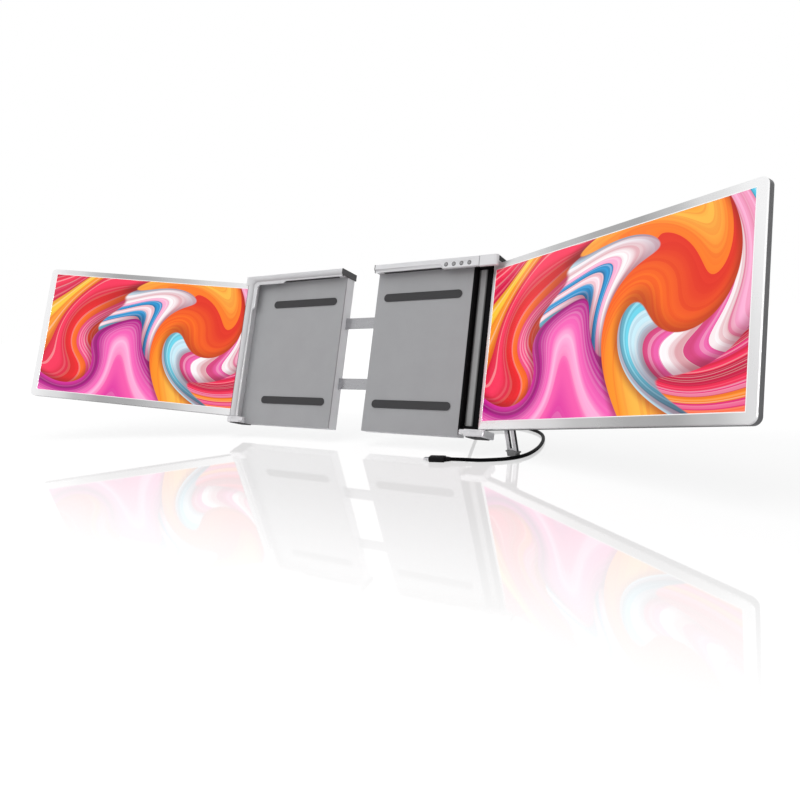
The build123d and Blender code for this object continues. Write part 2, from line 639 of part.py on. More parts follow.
def button(x, name):
    """A round button with a flange behind the front wall and a nib towards its switch."""
    with BuildPart() as cap:
        with BuildSketch(Plane.XZ.offset(FRONT + BUTTON_PROUD)):
            with Locations((x, BUTTON_Z)):
                Circle(BUTTON_DIA / 2)
        extrude(amount=-(BUTTON_PROUD + BUTTON_WALL + FIT))
        chamfer(cap.faces().sort_by(Axis.Y)[0].edges(), length=0.4)
        with BuildSketch(Plane.XZ.offset(FRONT - BUTTON_WALL - FIT)):
            with Locations((x, BUTTON_Z)):
                Circle(BUTTON_DIA / 2 + BUTTON_FLANGE)
        extrude(amount=-BUTTON_FLANGE_THICK)
        with BuildSketch(Plane.XZ.offset(-FLANGE_BACK)):
            with Locations((x, BUTTON_Z + BUTTON_NIB_RISE)):
                Circle(0.8)
        extrude(amount=-BUTTON_NIB)
    cap.part.label = name
    return cap.part


SWITCH_FACE = FLANGE_BACK + BUTTON_NIB + BUTTON_TRAVEL + 0.15
SWITCH = 1.6
CARD = 1.2

with BuildPart() as button_board:
    block(
        (BUTTON_XS[0] - 3.6, BUTTON_XS[-1] + 8),
        (SWITCH_FACE + SWITCH, SWITCH_FACE + SWITCH + CARD),
        (CAVITY[0] + FIT, CAVITY[1] - FIT),
    )
    for x in BUTTON_XS:
        block((x - 1.6, x + 1.6), (SWITCH_FACE, SWITCH_FACE + SWITCH), (CAVITY[0] + FIT, CAVITY[0] + 3.2))
button_board.part.label = "button_board"

with BuildPart() as main_board:
    block(MAIN_BOARD[:2], (CAVITY_BACK - 4.0 - BOARD, CAVITY_BACK - 4.0), MAIN_BOARD[2:])
    block((100.0, 118.0), (CAVITY_BACK - 5.6 - BOARD, CAVITY_BACK - 4.0 - BOARD), (60.0, 78.0))
    block((126.0, 136.0), (CAVITY_BACK - 5.2 - BOARD, CAVITY_BACK - 4.0 - BOARD), (84.0, 94.0))
main_board.part.label = "main_board"

with BuildPart() as usb_port:
    with BuildSketch(Plane.XZ.offset(-(CAVITY_BACK - 4.0))):
        with Locations((PORT_X, PORT_Z)):
            SlotOverall(PORT_W, PORT_H)
    extrude(amount=-(BACK - FIT - CAVITY_BACK + 4.0))
    with BuildSketch(Plane.XZ.offset(-(BACK - FIT))):
        with Locations((PORT_X, PORT_Z)):
            SlotOverall(TIP_W + 0.1, TIP_H + 0.1)
    extrude(amount=TIP_L - 0.2, mode=Mode.SUBTRACT)
usb_port.part.label = "usb_port"

# ---- Screens -----------------------------------------------------------------------------------


def screen_outline(inset):
    """The rounded outline of a right-hand screen, drawn in by the inset."""
    with BuildSketch() as outline:
        with Locations(((SCREEN_NEAR + SCREEN_FAR) / 2, (SCREEN_LOW + SCREEN_TOP) / 2)):
            Rectangle(SCREEN_FAR - SCREEN_NEAR - 2 * inset, SCREEN_TOP - SCREEN_LOW - 2 * inset)
        fillet(outline.vertices().group_by(Axis.X)[-1], radius=FAR_ROUND - inset)
        fillet(outline.vertices().group_by(Axis.X)[0], radius=NEAR_ROUND - inset)
    return outline.sketch


OUTLINE = screen_outline(0.0)
INNER_OUTLINE = screen_outline(COVER_WALL)


def screen_bezel():
    """The silver front frame round the window."""
    with BuildPart() as bezel:
        with BuildSketch(Plane.XZ.offset(-SCREEN_FRONT - BEZEL_THICK)):
            add(OUTLINE)
        extrude(amount=BEZEL_THICK)
        chamfer(bezel.faces().sort_by(Axis.Y)[0].edges(), length=0.7)
        with BuildSketch(Plane.XZ.offset(-SCREEN_FRONT - BEZEL_THICK)):
            add(INNER_OUTLINE)
        extrude(amount=BEZEL_THICK - BEZEL_PLATE, mode=Mode.SUBTRACT)
        with BuildSketch(Plane.XZ.offset(-SCREEN_FRONT - BEZEL_PLATE)):
            with Locations(((WINDOW[0] + WINDOW[1]) / 2, (WINDOW[2] + WINDOW[3]) / 2)):
                Rectangle(ACTIVE_W, ACTIVE_H)
        extrude(amount=BEZEL_PLATE, mode=Mode.SUBTRACT)
    return bezel.part


def window_layer(border, front, thickness):
    """A rectangular layer behind the window, wider than it by the border all round."""
    with BuildPart() as layer:
        block(
            (WINDOW[0] - border, WINDOW[1] + border),
            (front, front + thickness),
            (WINDOW[2] - border, WINDOW[3] + border),
        )
    return layer.part


GLASS_FRONT = SCREEN_FRONT + BEZEL_PLATE
MODULE_FRONT = GLASS_FRONT + GLASS
FLOOR_FACE = SCREEN_BACK - COVER_FLOOR
DRIVER = (300.0, 396.0, 30.0, 52.0)


def screen_cover():
    """The dark rear tray with its hinge holes and the posts of its board."""
    with BuildPart() as tray:
        with BuildSketch(Plane.XZ.offset(-SCREEN_BACK)):
            add(OUTLINE)
        extrude(amount=SCREEN_THICK - BEZEL_THICK)
        fillet(tray.faces().sort_by(Axis.Y)[-1].edges(), radius=1.6)
        with BuildSketch(Plane.XZ.offset(-FLOOR_FACE)):
            add(INNER_OUTLINE)
        extrude(amount=FLOOR_FACE - SCREEN_FRONT - BEZEL_THICK, mode=Mode.SUBTRACT)
        with BuildSketch(Plane.XY.offset(SCREEN_LOW)):
            with Locations((HINGE_X, HINGE_Y)):
                Circle(PIN_DIA / 2 + 0.3)
        extrude(amount=SCREEN_TOP - SCREEN_LOW, mode=Mode.SUBTRACT)
        for x in (DRIVER[0] + 4, DRIVER[1] - 4):
            for z in (DRIVER[2] + 4, DRIVER[3] - 4):
                with BuildSketch(Plane.XZ.offset(-FLOOR_FACE)):
                    with Locations((x, z)):
                        Circle(2.0)
                extrude(amount=0.8)
    return tray.part


def driver_board():
    """The board that drives the panel, on its posts."""
    with BuildPart() as board:
        block(DRIVER[:2], (FLOOR_FACE - 0.8 - 1.0, FLOOR_FACE - 0.8), DRIVER[2:])
    return board.part


def hinge_blocks():
    """The metal blocks inside the screen's near corners, bored for the hinge pins."""
    low = SCREEN_LOW + COVER_WALL + FIT
    high = SCREEN_TOP - COVER_WALL - FIT
    with BuildPart() as blocks:
        for z in ((low, WINDOW[2] - 1.2), (WINDOW[3] + 1.2, high)):
            block((HINGE_X - 4.4, HINGE_X + 4.4), (SCREEN_FRONT + BEZEL_THICK, FLOOR_FACE), z)
        with BuildSketch(Plane.XY.offset(SCREEN_LOW)):
            with Locations((HINGE_X, HINGE_Y)):
                Circle(PIN_DIA / 2 + RUN)
        extrude(amount=SCREEN_TOP - SCREEN_LOW, mode=Mode.SUBTRACT)
    return blocks.part


SCREEN_PIECES = {
    "bezel": screen_bezel(),
    "glass": window_layer(0.6, GLASS_FRONT, GLASS),
    "panel": window_layer(0.6, MODULE_FRONT, MODULE),
    "back_cover": screen_cover(),
    "driver_board": driver_board(),
    "hinge_blocks": hinge_blocks(),
}

# ---- Stand -------------------------------------------------------------------------------------

STAND_SIDE = STAND_WIDE / 2 + 0.3
STAND_DOWN = (0, sin(radians(STAND_LEAN)), -cos(radians(STAND_LEAN)))
STAND_FACING = Vector(1, 0, 0).cross(Vector(*STAND_DOWN))
STAND_PLANE = Plane((STAND_X, STAND_Y, STAND_Z), z_dir=STAND_FACING, x_dir=(1, 0, 0))

with BuildPart() as stand_bracket:
    with BuildSketch(Plane.XZ.offset(-SCREEN_BACK)):
        with Locations((STAND_X, STAND_Z)):
            RectangleRounded(2 * STAND_SIDE + 8, 12, 2)
    extrude(amount=-1.2)
    for side in (-1, 1):
        with BuildSketch(Plane.YZ.offset(STAND_X + side * (STAND_SIDE + 1.2) - 1.0)):
            with Locations((STAND_Y, STAND_Z)):
                Circle(3.0)
            with Locations(((SCREEN_BACK + STAND_Y) / 2, STAND_Z)):
                Rectangle(STAND_Y - SCREEN_BACK, 6.0)
            with Locations((STAND_Y, STAND_Z)):
                Circle(STAND_PIN_DIA / 2 + 0.02, mode=Mode.SUBTRACT)
        extrude(amount=2.0)
stand_bracket.part.label = "stand_bracket"

with BuildPart() as stand_pin:
    with BuildSketch(Plane.YZ.offset(STAND_X - STAND_SIDE - 2.2)):
        with Locations((STAND_Y, STAND_Z)):
            Circle(STAND_PIN_DIA / 2)
    extrude(amount=2 * STAND_SIDE + 4.4)
stand_pin.part.label = "stand_pin"

with BuildPart() as stand_leg:
    # a plate with a long slot that leaves two bars
    with BuildSketch(STAND_PLANE.offset(-STAND_THICK / 2)):
        with Locations((0, STAND_LENGTH / 2)):
            Rectangle(STAND_WIDE, STAND_LENGTH)
        with Locations((0, sum(STAND_SLOT_ENDS) / 2)):
            SlotOverall(STAND_SLOT_ENDS[1] - STAND_SLOT_ENDS[0], STAND_SLOT, rotation=90, mode=Mode.SUBTRACT)
    extrude(amount=STAND_THICK)
    with BuildSketch(Plane.YZ.offset(STAND_X - STAND_SIDE)):
        with Locations((STAND_Y, STAND_Z)):
            Circle(2.6)
    extrude(amount=2 * STAND_SIDE)
    with BuildSketch(Plane.YZ.offset(STAND_X - STAND_SIDE)):
        with Locations((STAND_Y, STAND_Z)):
            Circle(STAND_PIN_DIA / 2 + RUN)
    extrude(amount=2 * STAND_SIDE, mode=Mode.SUBTRACT)
stand_leg.part.label = "stand_leg"

# ---- Placing -----------------------------------------------------------------------------------

LEANING = Location((0, 0, 0), (-LEAN, 0, 0))


def swung(side, swing):
    """The move that swings a screen forward about its hinge, for side 1 on the right, -1 on the left."""
    hinge = Location((side * HINGE_X, HINGE_Y, 0))
    return hinge * Location((0, 0, 0), (0, 0, -side * swing)) * hinge.inverse()


RIGHT_SCREEN = LEANING * swung(1, SWING_RIGHT)
LEFT_SCREEN = LEANING * swung(-1, SWING_LEFT)

# ---- The stand's foot, on the table ------------------------------------------------------------

leg_end = Vector(STAND_X, STAND_Y, STAND_Z) + Vector(*STAND_DOWN) * STAND_LENGTH
foot_place = (RIGHT_SCREEN * Location(leg_end)).position

with BuildPart() as stand_foot:
    # a block that widens upwards, with a wider rim round its top
    with BuildSketch(Plane.XY.offset(TABLE)):
        Rectangle(STAND_FOOT_W - 2 * STAND_RIM_OUT - 1, STAND_FOOT_D - 2 * STAND_RIM_OUT)
    with BuildSketch(Plane.XY.offset(TABLE + STAND_FOOT_H - STAND_RIM)):
        Rectangle(STAND_FOOT_W - 2 * STAND_RIM_OUT, STAND_FOOT_D - STAND_RIM_OUT)
    loft()
    with BuildSketch(Plane.XY.offset(TABLE + STAND_FOOT_H - STAND_RIM)):
        Rectangle(STAND_FOOT_W, STAND_FOOT_D)
    extrude(amount=STAND_RIM)
stand_leg_placed = RIGHT_SCREEN * stand_leg.part
foot_blank = Location((foot_place.X, foot_place.Y, 0), (0, 0, -SWING_RIGHT)) * stand_foot.part
stand_foot_placed = foot_blank - stand_leg_placed

# ---- Cable -------------------------------------------------------------------------------------


def plug():
    """A plug along +Y: its moulded body starts at the origin and its metal tip points to -Y."""
    with BuildPart() as body:
        with BuildSketch(Plane.XZ):
            RectangleRounded(PLUG_W, PLUG_H, 2.4)
        extrude(amount=-PLUG_L)
        chamfer(body.faces().sort_by(Axis.Y)[-1].edges(), length=0.9)
        with BuildSketch(Plane.XZ.offset(-PLUG_L)):
            Circle(CABLE_DIA / 2 + 0.8)
        with BuildSketch(Plane.XZ.offset(-PLUG_L - RELIEF_L)):
            Circle(CABLE_DIA / 2 + 0.3)
        loft()
        with BuildSketch(Plane.XZ):
            SlotOverall(TIP_W, TIP_H)
        extrude(amount=TIP_L)
    return body.part


def tube(points, name):
    """A cable along straight runs joined by tangent arcs."""
    corners = [Vector(*point) for point in points]
    radii = []
    for before, corner, after in zip(corners, corners[1:], corners[2:]):
        turn = (corner - before).get_angle(after - corner)
        shorter = min((corner - before).length, (after - corner).length)
        radii.append(0.45 * shorter / tan(radians(turn / 2)))
    print(name, "radii", [round(radius) for radius in radii])
    with BuildLine() as path:
        FilletPolyline(*corners, radius=radii)
    route = path.wire()
    with BuildPart() as run:
        with BuildSketch(Plane(corners[0], z_dir=corners[1] - corners[0])):
            Circle(CABLE_DIA / 2)
        sweep(path=route)
    bare = route.length * pi * CABLE_DIA**2 / 4
    print(name, "length", round(route.length, 1), "volume ratio", round(run.part.volume / bare, 4))
    return run.part, route.length


LYING = TABLE + CABLE_DIA / 2
LAPTOP_PLUG = (176.0, -42.8, TABLE + PLUG_H / 2)
port_plug_end = (LEANING * Location((PORT_X, BACK + FIT + PLUG_L + RELIEF_L, PORT_Z))).position
PORT_PLUG = (port_plug_end.X, port_plug_end.Y, port_plug_end.Z)

coil_in = radians(60)
coil_out = radians(230)
COIL_ENTRY, COIL_EXIT = [
    (COIL_CENTRE[0] + COIL_RADIUS * cos(angle), COIL_CENTRE[1] + COIL_RADIUS * sin(angle), LYING)
    for angle in (coil_in, coil_out)
]

LAPTOP_RUN = [
    LAPTOP_PLUG,
    (189.0, -39.8, LAPTOP_PLUG[2]),
    (203.5, -34.2, LYING),
    (217.5, -26.4, LYING),
    (229.8, -17.2, LYING),
    (238.2, -4.4, LYING),
    (242.2, 11.0, LYING),
    (242.6, 29.0, LYING),
    (239.6, 50.0, LYING),
    (234.6, 72.0, LYING),
    (228.0, 93.0, LYING),
    (219.5, 114.0, LYING),
    (208.0, 134.5, LYING),
    (191.5, 153.0, LYING),
    (171.0, 168.0, LYING),
    (150.0, 179.0, LYING),
    COIL_ENTRY,
]
PORT_RUN = [
    PORT_PLUG,
    (PORT_X, PORT_PLUG[1] + 11.4, PORT_PLUG[2] - 3.53),
    (PORT_X, PORT_PLUG[1] + 25.0, PORT_PLUG[2] - 12.2),
    (PORT_X - 0.5, PORT_PLUG[1] + 36.5, PORT_PLUG[2] - 23.0),
    (PORT_X - 2.0, PORT_PLUG[1] + 51.0, LYING),
    (PORT_X - 6.0, PORT_PLUG[1] + 68.0, LYING),
    (PORT_X - 14.0, PORT_PLUG[1] + 86.0, LYING),
    COIL_EXIT,
]

cable_laptop_run, laptop_length = tube(LAPTOP_RUN, "cable_laptop_run")
cable_port_run, port_length = tube(PORT_RUN, "cable_port_run")
COIL_LENGTH = CABLE_LENGTH - laptop_length - port_length
print("coil length", round(COIL_LENGTH, 1), "turns", round(COIL_LENGTH / (2 * pi * COIL_RADIUS), 2))

COIL_TURNS = ceil(COIL_LENGTH / (2 * pi * COIL_RADIUS))  # they lie three in the lower layer, two on them
COIL_WIDE = ceil(COIL_TURNS / 2) * CABLE_DIA
COIL_HIGH = (1 + sin(radians(60))) * CABLE_DIA
TIE = 0.9

with BuildPart() as cable_coil:
    with BuildSketch(Plane.XY.offset(TABLE)):
        with Locations(COIL_CENTRE):
            Circle(COIL_RADIUS + COIL_WIDE / 2)
            Circle(COIL_RADIUS - COIL_WIDE / 2, mode=Mode.SUBTRACT)
    extrude(amount=COIL_HIGH)
    chamfer(cable_coil.edges().filter_by(GeomType.CIRCLE), length=CABLE_DIA / 3)
cable_coil.part.label = "cable_coil"

with BuildPart() as cable_tie:
    ring_x = COIL_CENTRE[0] + COIL_RADIUS
    block(
        (ring_x - COIL_WIDE / 2 - TIE, ring_x + COIL_WIDE / 2 + TIE),
        (COIL_CENTRE[1] - 5, COIL_CENTRE[1] + 5),
        (TABLE, TABLE + COIL_HIGH + TIE),
    )
    chamfer(cable_tie.edges().filter_by(Axis.Y).group_by(Axis.Z)[-1], length=CABLE_DIA / 3 + TIE / 2)
    add(cable_coil.part, mode=Mode.SUBTRACT)
cable_tie.part.label = "cable_tie"

PORT_PLUG_PLACE = LEANING * Location((PORT_X, BACK + FIT, PORT_Z))
plug_way = Vector(*LAPTOP_RUN[1]) - Vector(*LAPTOP_PLUG)
plug_turn = -Vector(0, 1, 0).get_signed_angle(Vector(plug_way.X, plug_way.Y, 0), Vector(0, 0, -1))
LAPTOP_PLUG_PLACE = Location(LAPTOP_PLUG, (0, 0, plug_turn)) * Location((0, -PLUG_L - RELIEF_L, 0))

# ---- Writing the pieces ------------------------------------------------------------------------


def write(piece, name, place=None):
    """Write one node, moved to its place."""
    placed = place * piece if place else piece
    placed.label = name
    export_step(placed, f"parts/{name}.step")


os.makedirs("parts", exist_ok=True)

for piece in (
    right_front_frame,
    right_end_cap,
    right_end_cover,
    right_inner_cover,
    right_back_shell,
    right_hinge_channel,
    right_channel_strip,
    right_foot,
    right_foot_pad,
    right_hook,
    right_hinge_pins,
    right_lid_pads,
    left_front_frame,
    left_hinge_cap,
    left_rail_guides,
    rail_screws,
    button_board,
    main_board,
    usb_port,
):
    write(piece.part, piece.part.label, LEANING)

for piece in (right_inner_cover, right_foot, right_foot_pad, right_hook, right_hinge_pins, right_lid_pads):
    write(mirrored(piece.part), piece.part.label.replace("right", "left"), LEANING)

write(right_back_plate, "right_back_plate", LEANING)
write(left_back_plate, "left_back_plate", LEANING)
write(left_back_shell, "left_back_shell", LEANING)
write(shell_screws(RIGHT_OUTER), "right_screws", LEANING)
write(mirrored(shell_screws(LEFT_OUTER)), "left_screws", LEANING)
for x, name in zip(BUTTON_XS, BUTTON_NAMES):
    write(button(x, name), name, LEANING)
for height, name in zip(RAIL_HEIGHTS, ("lower_rail", "upper_rail")):
    write(rail(height, name), name, LEANING)

for name, piece in SCREEN_PIECES.items():
    write(piece, f"right_screen_{name}", RIGHT_SCREEN)
    write(mirrored(piece), f"left_screen_{name}", LEFT_SCREEN)

write(stand_bracket.part, "stand_bracket", RIGHT_SCREEN)
write(stand_pin.part, "stand_pin", RIGHT_SCREEN)
write(stand_leg_placed, "stand_leg")
write(stand_foot_placed, "stand_foot")

write(plug(), "plug_port_end", PORT_PLUG_PLACE)
write(plug(), "plug_laptop_end", LAPTOP_PLUG_PLACE)
write(cable_laptop_run, "cable_laptop_run")
write(cable_port_run, "cable_port_run")
write(cable_coil.part, "cable_coil")
write(cable_tie.part, "cable_tie")
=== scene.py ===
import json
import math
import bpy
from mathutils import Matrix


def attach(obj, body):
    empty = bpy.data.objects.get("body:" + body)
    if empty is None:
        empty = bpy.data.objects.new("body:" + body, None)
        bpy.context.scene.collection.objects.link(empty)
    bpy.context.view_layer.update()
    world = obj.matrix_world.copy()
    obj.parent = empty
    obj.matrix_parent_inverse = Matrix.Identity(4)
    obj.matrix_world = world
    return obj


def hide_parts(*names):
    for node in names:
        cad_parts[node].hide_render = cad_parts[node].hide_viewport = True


bl_info = {
    "name": "Clip-on Twin Screens",
    "version": (1, 0, 0),
    "blender": (4, 5, 0),
    "location": "View3D > Sidebar > Twin Screens",
    "description": "Finishes, small details, lead and studio of two screens that clip to a laptop's lid",
    "category": "Object",
}

import bmesh
import bpy
from bpy.props import FloatProperty, FloatVectorProperty, IntProperty, PointerProperty
from mathutils import Matrix, Vector

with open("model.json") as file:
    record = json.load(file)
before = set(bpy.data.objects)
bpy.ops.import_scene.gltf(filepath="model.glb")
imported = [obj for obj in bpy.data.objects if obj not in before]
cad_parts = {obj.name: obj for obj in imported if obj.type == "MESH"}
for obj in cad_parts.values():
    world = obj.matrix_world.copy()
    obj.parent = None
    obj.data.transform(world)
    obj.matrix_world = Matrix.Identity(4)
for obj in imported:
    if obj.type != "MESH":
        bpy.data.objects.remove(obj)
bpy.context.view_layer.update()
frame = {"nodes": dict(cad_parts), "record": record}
NODES = frame["nodes"]

MM = 0.001
LEAN = math.radians(17.2)
TABLE = -19.3 * MM

# The hinge's axis, the picture's size and its lower and near edges, and the glass's front and back, for
# the right screen on an upright lid and before it swings
HINGE = (191.8 * MM, 5.5 * MM)
PICTURE_WIDE = 309.4 * MM
PICTURE_HIGH = 174.0 * MM
PICTURE_LOW = 19.0 * MM
PICTURE_NEAR = 191.2 * MM
GLASS_DEEP = (1.12 * MM, 2.28 * MM)

LEANING = Matrix.Rotation(-LEAN, 4, "X")
UPRIGHT = LEANING.inverted()


def swung(side, degrees):
    """The move that takes an upright right (1) or left (-1) screen to where it stands."""
    hinge = Vector((side * HINGE[0], HINGE[1], 0))
    turn = Matrix.Rotation(math.radians(-side * degrees), 4, "Z")
    return LEANING @ Matrix.Translation(hinge) @ turn @ Matrix.Translation(-hinge)


SCREEN_PLACES = {"right": swung(1, 25.6), "left": swung(-1, 25.0)}
BODY_OF = {node: body for body, nodes in frame["record"]["behaviour"]["bodies"].items() for node in nodes}


# ---- Finishes --------------------------------------------------------------------------------


class Finish:
    """A material with short calls for the nodes that the finishes are built from."""

    def __init__(self, name):
        self.material = bpy.data.materials.new(name)
        self.material.use_nodes = True
        self.tree = self.material.node_tree
        self.tree.nodes.clear()
        self.output = self.tree.nodes.new("ShaderNodeOutputMaterial")
        self.surface = self.tree.nodes.new("ShaderNodeBsdfPrincipled")
        self.link(self.surface.outputs[0], self.output.inputs[0])
        self.place = self.tree.nodes.new("ShaderNodeTexCoord").outputs["Object"]

    def link(self, source, socket):
        self.tree.links.new(source, socket)

    def put(self, socket, value):
        """Feed a socket from another node's output, or set it to a plain value."""
        if isinstance(value, bpy.types.NodeSocket):
            self.link(value, socket)
        else:
            socket.default_value = value

    def maths(self, operation, first, second=0.0, third=None, clamp=False):
        node = self.tree.nodes.new("ShaderNodeMath")
        node.operation = operation
        node.use_clamp = clamp
        self.put(node.inputs[0], first)
        self.put(node.inputs[1], second)
        if third is not None:
            self.put(node.inputs[2], third)
        return node.outputs[0]

    def vector(self, operation, first, second=None, scale=None):
        node = self.tree.nodes.new("ShaderNodeVectorMath")
        node.operation = operation
        self.put(node.inputs[0], first)
        if second is not None:
            self.put(node.inputs[1], second)
        if scale is not None:
            self.put(node.inputs["Scale"], scale)
        return node.outputs["Value"] if operation in ("DOT_PRODUCT", "LENGTH") else node.outputs[0]

    def lies(self, frame_back, row, start, unit):
        """How far along one axis of a turned frame a point lies from a start, in units."""
        part = self.vector("DOT_PRODUCT", self.place, tuple(frame_back[row][:3]))
        return self.maths("DIVIDE", self.maths("ADD", part, frame_back[row][3] - start), unit)

    def scaled(self, size, stretch=(1, 1, 1), turn=(0, 0, 0), place=None):
        """Coordinates on the object, in pattern sizes, stretched and turned."""
        node = self.tree.nodes.new("ShaderNodeMapping")
        self.link(place or self.place, node.inputs["Vector"])
        node.inputs["Rotation"].default_value = turn
        node.inputs["Scale"].default_value = [way / size for way in stretch]
        return node.outputs[0]

    def noise(self, place, scale=1.0, detail=2.0, rough=0.5, colour=False):
        node = self.tree.nodes.new("ShaderNodeTexNoise")
        self.link(place, node.inputs["Vector"])
        node.inputs["Scale"].default_value = scale
        node.inputs["Detail"].default_value = detail
        node.inputs["Roughness"].default_value = rough
        return node.outputs["Color" if colour else "Fac"]

    def spread(self, value, low, high, to_low=0.0, to_high=1.0, smooth=False):
        """Map a value from one range to another, clamped."""
        node = self.tree.nodes.new("ShaderNodeMapRange")
        node.interpolation_type = "SMOOTHSTEP" if smooth else "LINEAR"
        for socket, number in zip(node.inputs[:5], (value, low, high, to_low, to_high)):
            self.put(socket, number)
        return node.outputs[0]

    def ramp(self, value, stops, ease="EASE"):
        """Colours from (position, colour) stops."""
        node = self.tree.nodes.new("ShaderNodeValToRGB")
        band = node.color_ramp
        band.interpolation = ease
        while len(band.elements) < len(stops):
            band.elements.new(0.5)
        for element, (position, colour) in zip(band.elements, stops):
            element.position = position
            element.color = (*colour, 1)
        self.link(value, node.inputs[0])
        return node.outputs[0]

    def tones(self, value, colour, *stops):
        """Lighter and darker tones of a colour, from (position, level) stops."""
        return self.ramp(value, [(at, shaded(colour, level)) for at, level in stops])

    def blend(self, amount, first, second, way="MIX"):
        node = self.tree.nodes.new("ShaderNodeMix")
        node.data_type = "RGBA"
        node.blend_type = way
        self.put(node.inputs["Factor"], amount)
        self.put(node.inputs[6], first)
        self.put(node.inputs[7], second)
        return node.outputs[2]

    def bump(self, height, depth, strength=1.0, after=None):
        node = self.tree.nodes.new("ShaderNodeBump")
        node.inputs["Strength"].default_value = strength
        node.inputs["Distance"].default_value = depth
        self.link(height, node.inputs["Height"])
        if after is not None:
            self.link(after, node.inputs["Normal"])
        return node.outputs[0]

    def set(self, **values):
        """Set the shader's own sockets; underscores in a name stand for spaces."""
        for name, value in values.items():
            self.put(self.surface.inputs[name.replace("_", " ")], value)


def shaded(colour, factor):
    """A colour made lighter or darker."""
    return tuple(min(1.0, part * factor) for part in colour)


# The lip over the lid: how far its face lies ahead of the origin, and how thick it is
LIP_FACE = 7.5 * MM
LIP_THICK = 2.0 * MM
# The left column's rebate on the upright lid: outside of this place and below this height
REBATE_OUT = 191.9 * MM
REBATE_HIGH = 195.8 * MM
# A painted shade, near black, for the shadow gap on the left column's rebate beside the screen
REBATE_SHADE = (0.03, 0.03, 0.033, 1)
# A painted highlight, near white, on the lip's edge and on the edge of each bezel's window
PAINTED_HIGHLIGHT = (0.97, 0.97, 0.97, 1)
# A bezel's painted reflection: its level along the screen and a little past its end, as (place, level) stops
BEZEL_PAINTED_REFLECTION = (
    (0.0, 1.0),
    (0.10, 0.98),
    (0.26, 0.84),
    (0.42, 0.62),
    (0.58, 0.48),
    (0.68, 0.46),
    (0.78, 0.60),
    (0.88, 0.85),
    (1.0, 1.05),
)
BEZEL_REACH = 1.16


def painted_plastic(name, colour, gloss=0.36, metal=0.0, grain=0.25 * MM, rebate=None, lip=()):
    """Satin paint over moulded plastic: fine orange peel and a little cloudiness in its gloss.

    The rebate colour is a painted shade: it darkens the column's outer edge, where a shadow gap falls
    beside the screen. The lip gives the ways that face the lid, as an axis and a sign: there its edge
    gets a painted highlight, near white and metallic, and the bevel above it a painted shade.
    """
    finish = Finish(name)
    peel = finish.noise(finish.scaled(grain), detail=3.0)
    cloud = finish.noise(finish.scaled(38 * MM), detail=3.0, rough=0.6)
    tint = finish.tones(cloud, colour, (0.25, 0.965), (0.75, 1.02))
    # painted shade: the rebate is darkened where the shadow gap falls
    if rebate:
        outside = finish.spread(finish.lies(UPRIGHT, 0, -REBATE_OUT, -MM), -0.05, 0.05)
        below = finish.spread(finish.lies(UPRIGHT, 2, REBATE_HIGH, -MM), -0.05, 0.05)
        tint = finish.blend(finish.maths("MULTIPLY", outside, below), tint, rebate)
    if lip:
        normal = finish.tree.nodes.new("ShaderNodeTexCoord").outputs["Normal"]
        facing = 0.0
        for row, sign in lip:
            toward = finish.vector("DOT_PRODUCT", normal, tuple(UPRIGHT[row].xyz * sign))
            facing = finish.maths("MAXIMUM", toward, facing)
        behind = finish.lies(UPRIGHT, 1, -LIP_FACE, LIP_THICK)
        # painted shade: the bevel above the lip is darkened
        bevel = finish.maths("MULTIPLY", finish.spread(facing, 0.15, 0.45), finish.spread(behind, 0.0, -0.1))
        tint = finish.blend(bevel, tint, (*shaded(colour, 0.74), 1))
        # painted highlight: the lip's edge is made near white and metallic
        edge = finish.maths("MULTIPLY", finish.spread(facing, 0.3, 0.5), finish.spread(behind, -0.1, 0.0))
        edge = finish.maths("MULTIPLY", edge, finish.spread(behind, 1.1, 1.0))
        tint = finish.blend(edge, tint, PAINTED_HIGHLIGHT)
        metal = finish.spread(edge, 0.0, 1.0, metal, 1.0)
    rough = finish.spread(cloud, 0.2, 0.8, gloss - 0.05, gloss + 0.06)
    finish.set(Base_Color=tint, Roughness=rough, Metallic=metal, Normal=finish.bump(peel, 0.02 * MM, 0.35))
    finish.set(Coat_Weight=0.2, Coat_Roughness=0.12)
    return finish.material


def anodised_frame_with_painted_reflection(name, colour, side):
    """Fine-grained anodised metal with a painted reflection that darkens mid-screen and comes back.

    The edge of the window gets a painted highlight.
    """
    finish = Finish(name)
    way = 1 if side == "right" else -1
    slant, shift = {"right": (0.15, 0.0), "left": (0.0, 0.12)}[side]
    back = SCREEN_PLACES[side].inverted()
    along = finish.lies(back, 0, way * PICTURE_NEAR, way * PICTURE_WIDE)
    up = finish.lies(back, 2, PICTURE_LOW, PICTURE_HIGH)
    place = finish.maths("ADD", finish.maths("MULTIPLY_ADD", up, slant, along), shift)
    # painted reflection: the colour darkens towards the middle of the screen and comes back
    tone = finish.tones(finish.spread(place, 0.0, BEZEL_REACH), colour, *BEZEL_PAINTED_REFLECTION)

    def past(part, size):
        """How far a point lies past the picture's edge, from its part of the picture's size."""
        off_middle = finish.maths("ABSOLUTE", finish.maths("SUBTRACT", part, 0.5))
        return finish.maths("MULTIPLY", finish.maths("SUBTRACT", off_middle, 0.5), size)

    outside = finish.maths("MAXIMUM", past(along, PICTURE_WIDE), past(up, PICTURE_HIGH))
    # painted highlight at the edge of the window
    tone = finish.blend(finish.spread(outside, 1.0 * MM, 0.7 * MM), tone, PAINTED_HIGHLIGHT)
    grit = finish.noise(finish.scaled(0.16 * MM), detail=3.0, rough=0.6)
    cloud = finish.noise(finish.scaled(30 * MM), detail=2.0)
    rough = finish.spread(cloud, 0.2, 0.8, 0.24, 0.34)
    finish.set(Base_Color=tone, Metallic=1.0, Roughness=rough, Normal=finish.bump(grit, 0.008 * MM, 0.4))
    return finish.material


